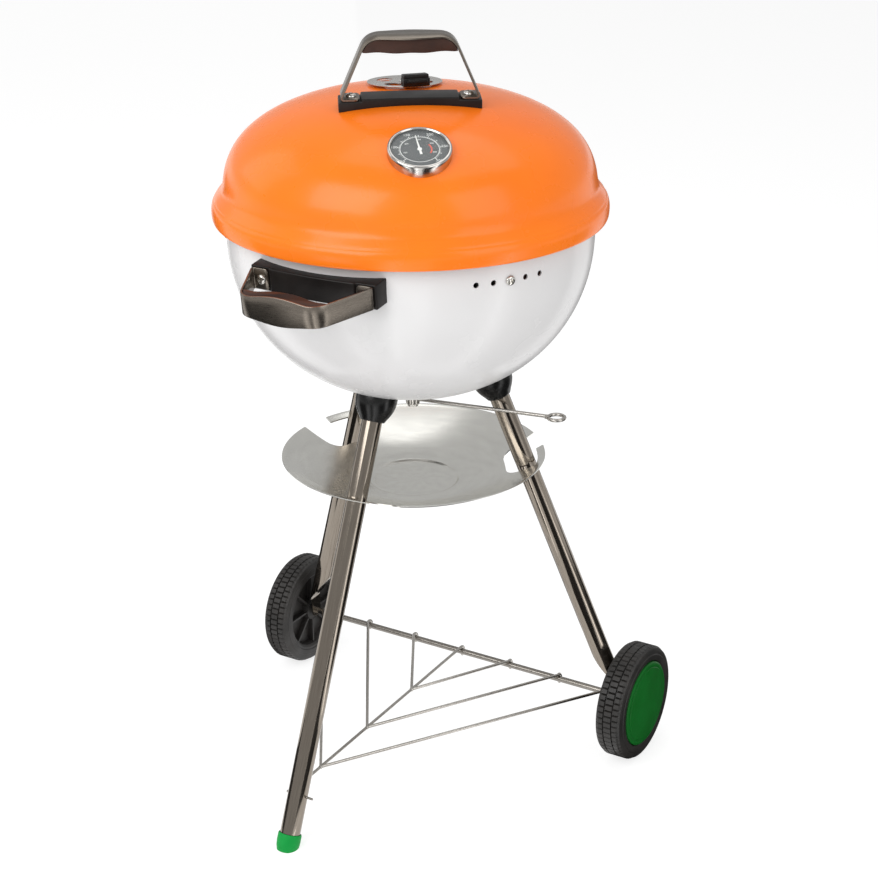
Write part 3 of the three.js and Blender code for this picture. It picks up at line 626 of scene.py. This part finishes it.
def filled_bowl(grow):
    return lathe([*bowl_curve(grow), (BOWL_CURVE["radius"] + grow, 820), (0, 820)], 160)


def filled_lid(grow):
    shell = offset([*lid_curve(), (228, 26), (238, 12)], grow)
    return lathe([*shell, (0, 12)], 160)


# ------------------------------------------------------------------ lid

def lid_skirt():
    """A crease under the dome, a sloping band with a shallow groove, and a rolled lip."""
    fit = RIM_RADIUS / 242
    band = [(228.0, 27.5), (229.6, 24.2), (232.6, 20.2), (235.6, 16.4), (237.3, 14.1), (237.9, 12.6),
            (238.6, 11.6), (239.9, 9.9), (240.9, 7.4), (241.7, 3.8), (242.0, 0.0), (241.9, -4.0),
            (241.5, -7.6), (240.7, -10.0), (239.7, -10.9), (238.7, -10.4), (238.4, -8.8)]
    return [(radius * fit, z) for radius, z in smooth_line(band, 3)]


def oval(radius_x, radius_y, centre_y, steps=36):
    angles = [2 * math.pi * i / steps for i in range(steps)]
    return [(radius_x * math.cos(a), centre_y + radius_y * math.sin(a)) for a in angles]


DAMPER_HOLE = {"half_width": 13, "half_height": 9, "offset": 27, "azimuth": 60}


def damper_openings(bottom, top, at=Matrix.Identity(4)):
    hole = DAMPER_HOLE
    turns = [turn("Z", azimuth + hole["azimuth"]) for azimuth in (0, 90, 180, 270)]
    outline = oval(hole["half_width"], hole["half_height"], -hole["offset"])
    return [moved(prism(outline, bottom, top), at @ turned) for turned in turns]


def add_lid():
    outer = [*lid_curve(), *lid_skirt()]
    inner = offset(outer, -1.8)[::-1]
    shell = lathe([*outer, *inner], 192)
    place = LID.inverted() @ DISC
    shell = boolean(shell, *damper_openings(-20, 20, place))
    add("lid_dome", shell, ORANGE, "lid", LID, "lid_shell", sharp=50)


# ------------------------------------------------------------------ handles

STRIP = {"thickness": 2.5, "foot": 81, "foot_length": 22, "top": 50, "rise": 74}


def swell(x, half=13.0, extra=4.4, reach=43.0):
    """Half the strip's width: wider over the bar's middle, easing in at the bends."""
    share = min(1.0, abs(x) / reach)
    return half + extra * (0.5 + 0.5 * math.cos(math.pi * share)) ** 0.75


def strip_middle():
    thick, foot, top, rise = STRIP["thickness"], STRIP["foot"], STRIP["top"], STRIP["rise"]
    inner = foot - STRIP["foot_length"]
    corners = [(-inner, thick / 2), (-foot, thick / 2), (-top, rise), (top, rise), (foot, thick / 2),
               (inner, thick / 2)]
    line = rounded(corners, [5, 16, 16, 5], 12)
    dense = [line[0]]
    for point in line[1:]:
        gap = (point - dense[-1]).length
        start = dense[-1]
        steps = max(1, round(gap / 3))
        dense += [start.lerp(point, (k + 1) / steps) for k in range(steps)]
    return dense


def handle_strip():
    """Bent steel strip with rounded feet: a flat rounded section carried along the bends."""
    middle = strip_middle()
    lengths = [0.0]
    for a, b in zip(middle, middle[1:]):
        lengths.append(lengths[-1] + (b - a).length)
    thick = STRIP["thickness"] / 2
    rings = []
    for i, point in enumerate(middle):
        ahead = middle[min(i + 1, len(middle) - 1)] - middle[max(i - 1, 0)]
        normal = Vector((-ahead.y, ahead.x)).normalized()
        to_end = min(lengths[i], lengths[-1] - lengths[i])
        on_bar = point.y > STRIP["rise"] - 20
        half = swell(point.x) if on_bar else 13.0
        corner = 3.5
        if to_end < corner:
            half -= corner - math.sqrt(corner ** 2 - (corner - to_end) ** 2)
        section = [(-half, -thick + 0.4), (-half + 0.5, -thick), (half - 0.5, -thick), (half, -thick + 0.4),
                   (half, thick - 0.4), (half - 0.5, thick), (-half + 0.5, thick), (-half, thick - 0.4)]
        rings.append([Vector((point.x + n * normal.x, y, point.y + n * normal.y)) for y, n in section])
    return skin(rings)


def handle_grip():
    """Plastic filling under the bar, its underside slightly waved and its edges rounded."""
    thick, foot, top, rise = STRIP["thickness"], STRIP["foot"], STRIP["top"], STRIP["rise"]
    low = rise - thick / 2 - 15
    low_x = foot + (top - foot) * low / rise
    line = rounded([(-low_x, low), (-top, rise), (top, rise), (low_x, low)], [16, 16], 12)
    upper = offset([(p.x, p.y) for p in line], -thick / 2 - 0.3)
    x_end = upper[-1][0]
    wave = [(x, upper[-1][1] + 0.45 * math.cos(3 * math.pi * x / x_end)) for x in
            [x_end * (1 - 2 * i / 22) for i in range(1, 22)]]
    body = prism_xz([*upper, *wave], lambda x: swell(x, 12.4, 4.6))
    return bevelled(body, 1.1, 3, 50)


def screw_head(radius=6.0, height=3.2):
    """A pan head with a cross recess, on a flat seat at z = 0."""
    head = lathe([(0, height), (radius * 0.45, height), (radius * 0.75, height * 0.86),
                  (radius * 0.94, height * 0.55), (radius, height * 0.2), (radius, 0), (0, 0)], 40)
    arm, narrow = radius * 0.56, radius * 0.14
    bars = [block((-arm, -narrow, height * 0.35), (arm, narrow, height + 1)),
            block((-narrow, -arm, height * 0.35), (narrow, arm, height + 1))]
    return boolean(head, *bars)


def handle_bracket(depth, crown, shell):
    """Moulded bracket: recessed ends for the feet, a raised middle, rounded edges."""
    inner = STRIP["foot"] - STRIP["foot_length"] - 2
    top = [(x, 3 + crown * (1 - (x / inner) ** 2)) for x in [-inner + 2 * inner * i / 24 for i in range(25)]]
    end, seat = 83.5, -0.2
    outline = [(-end, -depth), (-end, seat), (-inner, seat), *top, (inner, seat), (end, seat), (end, -depth)]
    blank = bevelled(prism_xz(outline, 15.0), 1.8, 4, 40)
    return boolean(blank, shell)


def add_handle(name, body, place, bracket):
    add(f"{name}_bar_strip", handle_strip(), BRUSHED, body, place, f"{name}_strip", sharp=50)
    add(f"{name}_bar_grip", handle_grip(), GRIP, body, place, f"{name}_grip")
    add(f"{name}_base", bracket, BLACK, body, place, f"{name}_bracket", sharp=30)
    for side, x in (("left", -68.5), ("right", 68.5)):
        screw = screw_head()
        shank = lathe([(0, 0), (2.5, 0), (2.5, -22), (0, -22)], 16)
        spot = place @ shift(x, 0, STRIP["thickness"] + 0.3) @ turn("Z", 20 + x)
        add(f"{name}_pan_screw_{side}", merged(screw, shank), ZINC, body, spot, f"{name}_screw_{side}")


def add_handles():
    lid_shell = moved(filled_lid(0.3), LID_HANDLE.inverted() @ LID)
    add_handle("lid_handle", "lid", LID_HANDLE, handle_bracket(40, 0.6, lid_shell))
    bowl = moved(filled_bowl(0.3), SIDE_HANDLE.inverted() @ KETTLE)
    add_handle("side_handle", "stand", SIDE_HANDLE, handle_bracket(60, 2.4, bowl))


# ------------------------------------------------------------------ bowl

SUPPORT_AZIMUTHS = (60, 180, 300)  # a vent, and a support screw between air holes, at each
AIR_HOLE_Z = 713
AIR_HOLE_RADIUS = 3.5


def rod_between(start, end, radius, sides=24):
    return tube([start, end], radius, sides)


def ring_sector(inner, outer, start, end, steps=12):
    points = [polar(outer, start + (end - start) * i / steps) for i in range(steps + 1)]
    points += [polar(inner, end - (end - start) * i / steps) for i in range(steps + 1)]
    return [(point.x, point.y) for point in points]


def add_bowl():
    rim = BOWL_RIM
    roll = smooth_line([(224.7, rim - 12), (225.0, rim - 7.2), (226.6, rim - 5.6), (227.5, rim - 3.6),
                        (226.9, rim - 1.2), (225.0, rim), (223.2, rim - 0.8), (222.6, rim - 3)], 4)
    shell = lathe([*bowl_curve(), *roll, *bowl_curve(-2)[::-1]], 192)
    holes = []
    for azimuth in SUPPORT_AZIMUTHS:
        holes.append(moved(prism(ring_sector(30, 67, -14, 14), 490, 600), turn("Z", azimuth)))
    for azimuth in SUPPORT_AZIMUTHS:
        for angle in (-11, -5.5, 5.5, 11):
            line = [polar(radius, azimuth + angle, AIR_HOLE_Z) for radius in (200, 240)]
            holes.append(rod_between(*line, AIR_HOLE_RADIUS))
    add("bowl_body", boolean(shell, *holes), WHITE, "stand", BOWL, "bowl_shell", sharp=50)
    for i, azimuth in enumerate(SUPPORT_AZIMUTHS, 1):
        outward = turn("Z", azimuth - 90) @ shift(224.9, 0, AIR_HOLE_Z) @ turn("Y", 90)
        spot = BOWL @ outward @ turn("Z", 25 * i)
        screw = merged(screw_head(), lathe([(0, 0), (2.5, 0), (2.5, -9), (0, -9)], 16))
        add(f"support_pan_screw_{i}", screw, ZINC, "stand", spot, f"grate_support_screw_{i}")


# ------------------------------------------------------------------ grates and bottom damper

def grate(ring_radius, ring_wire, bar_wire, z, pitch, cross):
    bar_z = z + ring_wire + bar_wire - 1
    ring = [polar(ring_radius, 360 * i / 120, z) for i in range(120)]
    bm = tube(ring, ring_wire, 10, closed=True)
    x = pitch / 2
    while x < ring_radius - ring_wire:
        half = math.sqrt(ring_radius ** 2 - x ** 2)
        for side in (-x, x):
            tube([(side, -half, bar_z), (side, half, bar_z)], bar_wire, 10, bm=bm)
        x += pitch
    for y in cross:
        half = math.sqrt(ring_radius ** 2 - y ** 2)
        tube([(-half, y, z), (half, y, z)], bar_wire, 10, bm=bm)
    return bm


def add_grates():
    cooking = grate(206, 3, 2.5, 725.5, 23, (-110, 110))
    for side in (-1, 1):
        loop = [(170 * side, y, 730 + z) for y, z in arc((0, 0), 30, 0, 180, 24)]
        tube(loop, 2.5, 10, bm=cooking)
    add("cooking_grate_wires", cooking, WIRE, "cooking_grate_body", KETTLE, "cooking_grate")
    charcoal = grate(176, 3, 2.5, 611, 28, (-80, 80))
    add("charcoal_grate_wires", charcoal, WIRE, "charcoal_grate_body", KETTLE, "charcoal_grate")


def add_lever():
    """Flat collar under the bowl and one wire bent into a ring at its end, closed on itself."""
    azimuth, z, wire = 100.5, 494, 2.3
    collar = lathe([(4.3, z - 5.5), (8.4, z - 5.5), (9, z - 4.9), (9, z + 4.4), (8.4, z + 5), (4.3, z + 5),
                    (4.3, z - 5.5)], 40)
    ring_middle = polar(190, azimuth, z)
    out = polar(1, azimuth)
    side = polar(1, azimuth + 90)
    path = [polar(6.5, azimuth, z), polar(60, azimuth, z), polar(172, azimuth, z)]
    for i in range(29):
        angle = math.radians(180 - 348 * i / 28)
        path.append(ring_middle + 10.2 * (math.cos(angle) * out + math.sin(angle) * side))
    path.append(ring_middle - 14 * out - 3.6 * side)
    bm = tube(path, wire, 12, bm=collar)
    add("lever_wire", bm, WIRE, "bottom_damper", KETTLE, "damper_lever")


# ------------------------------------------------------------------ legs, sockets and foot

def leg_point(leg, z):
    azimuth, floor_radius, splay = LEGS[leg]
    return polar(floor_radius - splay * z, azimuth, z)


def leg_frame(leg):
    """Origin where the leg's axis meets the bowl, +Z down the leg."""
    z = 520.0
    for _ in range(20):
        z = bowl_height_at(LEGS[leg][1] - LEGS[leg][2] * z)
    start = leg_point(leg, z)
    down = (leg_point(leg, z - 100) - start).normalized()
    return Matrix.Translation(start) @ Vector((0, 0, 1)).rotation_difference(down).to_matrix().to_4x4(), z


def add_front_leg():
    place, top_z = leg_frame("front")
    length = (leg_point("front", 9) - leg_point("front", top_z)).length
    wall = TUBE_RADIUS - 1.5
    top = 16
    outside = [(TUBE_RADIUS, top + (length - top) * i / 12) for i in range(1, 12)]
    profile = [(wall, top), (TUBE_RADIUS, top), *outside, (TUBE_RADIUS, length), (wall, length), (wall, top)]
    leg = lathe(profile, 48, streak_across=False)
    add("front_leg_tube", leg, LEG_STEEL, "stand", KETTLE @ place, "front_leg")


REAR_LEG = {  # where the pressing starts, and the tab's thickness and half width
    "press_z": 150,
    "tab_thickness": 2.2,
    "tab_half": 9.5,
}


def rear_leg(mirror):
    """Straight round tube, pressed flat on the slant at its lower end into a tab around the axle."""
    leg = "rear_right"
    _, top_z = leg_frame(leg)
    outer_x = box_mm("rear_leg_right")[1][0]
    inner_x = outer_x - REAR_LEG["tab_thickness"]
    press_z = REAR_LEG["press_z"]
    eye = REAR_LEG["tab_half"]
    axle_y = AXLE_Y - KETTLE_Y
    down = (leg_point(leg, 100) - leg_point(leg, 200)).normalized()
    across = (Vector((1, 0, 0)) - down * down.x).normalized()
    over = down.cross(across)
    top = leg_point(leg, top_z - 15).z
    rings = []
    stations = [(top - (top - press_z) * i / 8, 1.0) for i in range(9)]
    stations += [(press_z - 3.5 * i, 1 - 0.25 * min(1.0, max(0.0, (i - 7) / 11))) for i in range(1, 21)]
    for angle in (8, 22, 36, 50, 64, 78, 86):
        low = AXLE_Z + 1 - eye * math.sin(math.radians(angle))
        stations.append((low, 0.75 * math.cos(math.radians(angle))))
    for z, narrow in stations:
        middle = leg_point(leg, z)
        if z < 80:
            middle.y = axle_y
        slant = min(outer_x - 60 + (172 - z) * 80 / 96, inner_x)
        ring = []
        for i in range(48):
            angle = 2 * math.pi * i / 48
            point = middle + TUBE_RADIUS * (math.cos(angle) * across + math.sin(angle) * over)
            point += down * (z - point.z) / down.z
            if z <= press_z:
                point.x = min(max(point.x, slant), outer_x)
                point.y = middle.y + (point.y - middle.y) * narrow
            ring.append(point)
        rings.append(ring)
    body = skin(rings)
    if mirror:
        body.transform(Matrix.Scale(-1, 4, (1, 0, 0)))
    return body


SOCKET_PROFILE = [(0, -20), (25.6, -20), (25.9, -6), (25.9, 3), (25.4, 9), (24.2, 14), (22.3, 18.6),
                  (19.8, 23), (17.6, 26.4), (16.2, 29), (15.4, 30.4), (14.4, 31), (13, 31), (13, 15), (0, 15)]


def add_sockets():
    bowl = filled_bowl(0.3)
    mesh = bpy.data.meshes.new("bowl_tool")
    bowl.to_mesh(mesh)
    for leg in LEGS:
        place, _ = leg_frame(leg)
        tool = bmesh.new()
        tool.from_mesh(mesh)
        socket = boolean(lathe(SOCKET_PROFILE, 72), moved(tool, place.inverted()))
        add(f"socket_{leg}", socket, SOCKET, "stand", KETTLE @ place, f"leg_socket_{leg}", sharp=40)


def add_foot_cap():
    sole = leg_point("front", -12)
    up = (leg_point("front", 100) - sole).normalized()
    seat = (leg_point("front", 8.4) - sole).length
    profile = [(0, 5.5), (8, 5.6), (12.6, 9), (14.2, 15), (14.8, 21), (14.8, 29.6), (14.4, 31), (13.5, 31.6),
               (13.3, 31.2),
               (13.3, seat), (0, seat)]
    place = Matrix.Translation(sole) @ Vector((0, 0, 1)).rotation_difference(up).to_matrix().to_4x4()
    cap_body = moved(lathe(profile, 64), place)
    below = block((-60, -400, -60), (60, -150, 0))
    cap_body = boolean(cap_body, below)
    add("foot_cap_moulding", bevelled(cap_body, 0.6, 2, 50), FOOT_GREEN, "stand", KETTLE, "foot_cap")


# ------------------------------------------------------------------ wheels

WHEEL = {"radius": 77.0, "half": 19.0, "cap": 57.0}


def tyre():
    """Tread of offset blocks between round grooves, ringed sides and an inner face with ribs."""
    radius, half = WHEEL["radius"], WHEEL["half"]
    depth = 2.4
    blocks, steps = 60, 6
    segments = blocks * steps
    grooves = [(-6.6, -5.2), (5.2, 6.6)]
    one_side = [5.0, 5.2, 6.6, 6.8, 12.8, half - 4.6, half - 4]
    across = [*[-z for z in one_side[::-1]], 0, *one_side]
    rings = [[polar(4.3, 360 * i / segments, -half + 4) for i in range(segments)]]
    plain = [(14, -half + 4), (15, -half + 3.4), (16, -6), (50, -6), (53, -half + 3), (56, -half + 1),
             (59, -half + 1), (60, -half), (66, -half), (67, -half + 0.8), (71, -half + 0.8),
             (74.4, -half + 2)]
    rings += [[polar(r, 360 * i / segments, z) for i in range(segments)] for r, z in plain]
    for z in across:
        ring = []
        for i in range(segments):
            offset_steps = 3 if abs(z) < 6 else 0
            in_cross = (i + offset_steps) % steps == 0
            in_groove = any(low <= z <= high for low, high in grooves)
            shoulder = 1.6 if abs(z) > half - 5 else 0.0
            drop = depth if in_cross or in_groove else shoulder
            ring.append(polar(radius - drop, 360 * (i + 0.5) / segments, z))
        rings.append(ring)
    plain = [(74.4, half - 2), (71, half - 0.8), (67, half - 0.8), (66, half), (60, half), (58.4, half - 0.6),
             (57.7, half - 1.6), (57.7, 8), (30, 5), (4.3, 5)]
    rings += [[polar(r, 360 * i / segments, z) for i in range(segments)] for r, z in plain]
    body = skin(rings, closed=True)
    for k in range(8):
        moved_rib = moved(block((-1.4, 14, -half + 5), (1.4, 53, -6)), turn("Z", 45 * k))
        body = merged(body, moved_rib)
    return body


def hubcap():
    edge, face = WHEEL["cap"], WHEEL["half"]
    outer = [(0, face + 6), (12, face + 5.9), (24, face + 5.4), (36, face + 4.3), (45, face + 3),
             (49, face + 2.3), (49.8, face + 1.5), (51, face + 1.5), (52, face + 1.8), (55.4, face + 1.0),
             (56.7, face - 0.2), (edge, face - 1.6), (edge, 10), (55, 10), (55, face - 1.6)]
    inner = [(30, face + 2.4), (0, face + 4)]
    return lathe([*outer, *inner], 128)


def add_wheels():
    for side, sign in (("right", 1), ("left", -1)):
        place = Matrix.Translation(joint_spot(f"{side}_wheel_spin")) @ turn("Y", 90 * sign)
        add(f"tyre_{side}", tyre(), TYRE, f"{side}_wheel", place, f"wheel_{side}", sharp=25)
        add(f"cap_{side}", hubcap(), CAP_GREEN, f"{side}_wheel", place, f"hubcap_{side}", sharp=30)
    end = WHEEL["half"] + wheel_spot.x - 10
    rod = lathe([(0, -end), (3.4, -end), (4, -end + 0.8), (4, end - 0.8), (3.4, end), (0, end)], 32,
                streak_across=False)
    add("axle_bar", rod, AXLE, "stand", Matrix.Translation((0, AXLE_Y, AXLE_Z)) @ turn("Y", 90), "axle_rod")


# ------------------------------------------------------------------ wire rack

def rack_line(y):
    return 74 + (y + 260) / 378 * 9.4


def hooked(start, x, axle_y):
    """A wire from a point to the axle, over it and part of the way back under it."""
    reach = 6.4
    path = [Vector(start), Vector((x, axle_y - reach * 0.4, AXLE_Z + reach))]
    for y, z in arc((axle_y, AXLE_Z), reach, 92, -76, 14):
        path.append(Vector((x, y, z)))
    return path


def add_rack():
    axle_y = AXLE_Y - KETTLE_Y
    bm = tube(hooked((0, -264, rack_line(-264)), 0, axle_y), 2, 12)
    for y, x in ((-228, 229), (-121, 152.7), (-12, 76.4)):
        for side in (-1, 1):
            tube(hooked((0, y, rack_line(y)), side * x, axle_y), 2, 12, bm=bm)
        bead = [(0, 3), (1.8, 2.4), (3, 0), (1.8, -2.4), (0, -3)]
        bm = merged(bm, moved(lathe(bead, 16), shift(0, y, rack_line(y))))
    add("rack_wires", bm, WIRE, "stand", KETTLE, "wire_rack")
    pin_y = leg_point("front", 62).y
    pin = tube([(-16, pin_y, 62), (-14, pin_y, 62), (20, pin_y, 62), (22, pin_y, 62)], 1.5, 12)
    add("rack_pin_rod", pin, AXLE, "stand", KETTLE, "rack_pin")


# ------------------------------------------------------------------ ash dish

def keyhole():
    """An open mouth at the rim, and a rounded pocket beside it under a narrow strap."""
    strap = [polar(158.5, 12 - 19.5 * i / 8) for i in range(9)]
    pocket = [(150, -7.8), (132, -7.2), (121.5, -3.5), (118, 3), (118, 15), (121, 21), (130, 24.6),
              (141, 25.6)]
    inner = [polar(radius, azimuth) for radius, azimuth in smooth_line(pocket, 5)]
    mouth = [polar(185, 27), polar(185, 12)]
    return [(point.x, point.y) for point in [*strap, *inner, *mouth]]


def add_dish():
    radius, rim_z, depth, centre = 168.0, 420.0, 35.0, 58.0
    floor_z = rim_z - depth
    under = [(0, floor_z - 3), (centre - 8, floor_z - 3), (centre - 3, floor_z - 2.9),
             (centre - 1.4, floor_z - 2.4), (centre + 0.2, floor_z - 0.5), (centre + 1.4, floor_z - 0.05),
             (centre + 3, floor_z)]
    for i in range(1, 29):
        share = i / 28
        under.append((centre + 3 + (radius - 0.8 - centre - 3) * share, rim_z - depth * (1 - share ** 1.75)))
    under[-1] = (radius - 0.5, rim_z)
    top = offset(under, 1.5)[::-1]
    edge = [(radius, rim_z + 0.5), (radius - 0.2, rim_z + 1.3)]
    dish = lathe([*under, *edge, *top], 192)
    cuts = [moved(prism(keyhole(), 360, 460), turn("Z", azimuth)) for azimuth, _, _ in LEGS.values()]
    add("ash_dish_sheet", boolean(dish, *cuts), DISH_SHEET_PAINTED_LIGHT, "dish", KETTLE, "ash_dish", sharp=50)


# ------------------------------------------------------------------ lid damper and thermometer

def add_damper():
    disc = lathe([(0, 0.7), (40, 0.7), (44.5, 0.7), (45.7, 1.1), (45.9, 1.6), (45.3, 2.1), (44, 1.85),
                  (20, 1.8), (0, 1.8)], 96)
    bore = lathe([(0, -5), (3.3, -5), (3.3, 5), (0, 5)], 24)
    disc = boolean(disc, bore, *damper_openings(-5, 5))
    add("lid_damper_plate", disc, DISC_SHEET, "lid_damper", DISC, "lid_damper_disc")
    rivet = lathe([(0, -6), (6, -6), (6, -4), (3, -4), (3, 2.1), (7, 2.1), (6.4, 3.2), (4.4, 4.1), (2, 4.4),
                   (0, 4.5)], 40)
    add("lid_damper_rivet_head", rivet, ZINC, "lid", DISC, "lid_damper_rivet")
    lower = bevelled(block((-16.5, -47, 2.1), (16.5, -34, 11.5)), 1.2, 3)
    upper = bevelled(block((-15.6, -45.6, 10.2), (15.6, -33, 16)), 1.5, 3)
    rib = bevelled(block((-13, -49.3, 5), (13, -45, 10)), 1.0, 3)
    tab = merged(lower, upper, rib)
    add("lid_damper_knob", tab, BLACK, "lid_damper", DISC @ turn("Z", 15), "lid_damper_tab")


def dial_marks():
    """Printed ring, ticks and bars of the scale, 0.15 mm proud of the dial."""
    low, high = 0.92, 1.06
    marks = prism(oval(22.4, 22.4, 0, 96), low, high)
    marks = boolean(marks, prism(oval(21.7, 21.7, 0, 96), 0, 2))
    for i in range(51):
        long = i % 5 == 0
        bar = block((-0.42 if long else -0.2, 22.2, low), (0.42 if long else 0.2, 25.4 if long else 24, high))
        marks = merged(marks, moved(bar, turn("Z", 135 - 270 * i / 50)))
    return marks


def dial_number(text, size, place):
    curve = bpy.data.curves.new("number", "FONT")
    curve.body = text
    curve.size = size
    curve.align_x = "CENTER"
    curve.align_y = "CENTER"
    curve.extrude = 0.07
    writing = bpy.data.objects.new("number", curve)
    scene.collection.objects.link(writing)
    bpy.context.view_layer.update()
    bm = bmesh.new()
    bm.from_mesh(writing.evaluated_get(bpy.context.evaluated_depsgraph_get()).to_mesh())
    bpy.data.objects.remove(writing)
    return moved(bm, place)


def add_thermometer():
    radius = 37.0
    case = [(3.4, -12), (radius - 1, -12), (radius, -11), (radius, 1.0), (radius - 0.2, 2.6),
            (radius - 0.9, 4.2), (radius - 2.2, 5.1), (radius - 3.4, 5.0), (radius - 4.2, 4.0),
            (radius - 4.4, 3.7), (radius - 2.2, 3.6),
            (radius - 2.2, 0), (3.4, 0), (3.4, -12)]
    shell = moved(filled_lid(0.3), GAUGE.inverted() @ LID)
    bezel = boolean(lathe(case, 96), shell)
    add("thermometer_bezel", bezel, BEZEL, "lid", GAUGE, "thermometer_case", sharp=40)
    face = lathe([(0, 0.3), (radius - 2.5, 0.3), (radius - 2.5, 0.9), (0, 0.9)], 96)
    add("thermometer_face", face, DIAL, "lid", GAUGE, "thermometer_dial")
    marks = dial_marks()
    for i in range(6):
        spot = turn("Z", 135 - 270 * i / 5) @ shift(0, 29, 1.0) @ turn("Z", -(135 - 270 * i / 5))
        marks = merged(marks, dial_number(str(50 + 50 * i), 5.4, spot))
    for i in range(5):
        spot = turn("Z", 108 - 270 * i / 5) @ shift(0, 17.4, 1.0) @ turn("Z", -(108 - 270 * i / 5))
        marks = merged(marks, dial_number(str(100 * (i + 1)), 3.2, spot))
    add("thermometer_scale", marks, PRINT, "lid", GAUGE)
    hot = prism(ring_sector(12.6, 14.4, 60, 128, 24), 0.92, 1.06)
    add("thermometer_hot_zone", hot, PRINT_RED, "lid", GAUGE)
    lens = lathe([(0, 2.5), (radius - 2.6, 2.4), (radius - 2.6, 3.3), (radius * 0.6, 3.5), (0, 3.6)], 96)
    add("thermometer_window", lens, GLASS, "lid", GAUGE, "thermometer_lens")
    hand = prism([(-1.5, -9), (1.5, -9), (1.1, 0), (0.35, 25), (-0.35, 25), (-1.1, 0)], 1.3, 1.7)
    boss = lathe([(0, 1.2), (2.7, 1.2), (2.7, 1.9), (2.2, 2.2), (0, 2.25)], 32)
    pin = lathe([(0, -1), (1, -1), (1, 1.4), (0, 1.4)], 16)
    pointing = GAUGE @ turn("Z", 8)
    add("thermometer_hand", merged(hand, boss, pin), NEEDLE, "gauge_needle", pointing, "thermometer_needle")


# ------------------------------------------------------------------ building

add_lid()
add_bowl()
add_handles()
add_grates()
add_lever()
add_front_leg()
add("rear_leg_tube_right", rear_leg(False), LEG_STEEL, "stand", KETTLE, "rear_leg_right", sharp=40)
add("rear_leg_tube_left", rear_leg(True), LEG_STEEL, "stand", KETTLE, "rear_leg_left", sharp=40)
add_sockets()
add_foot_cap()
add_wheels()
add_rack()
add_dish()
add_damper()
add_thermometer()

repaint(GALVANISED, "grate_support_1", "grate_support_2", "grate_support_3", "damper_sweep_plate")
repaint(ZINC, "damper_pivot", "leg_bolt_front", "leg_bolt_rear_right", "leg_bolt_rear_left", "axle_nut_right",
        "axle_nut_left", "thermometer_stem", "thermometer_nut", "lid_handle_nut_left", "lid_handle_nut_right",
        "side_handle_nut_left", "side_handle_nut_right")
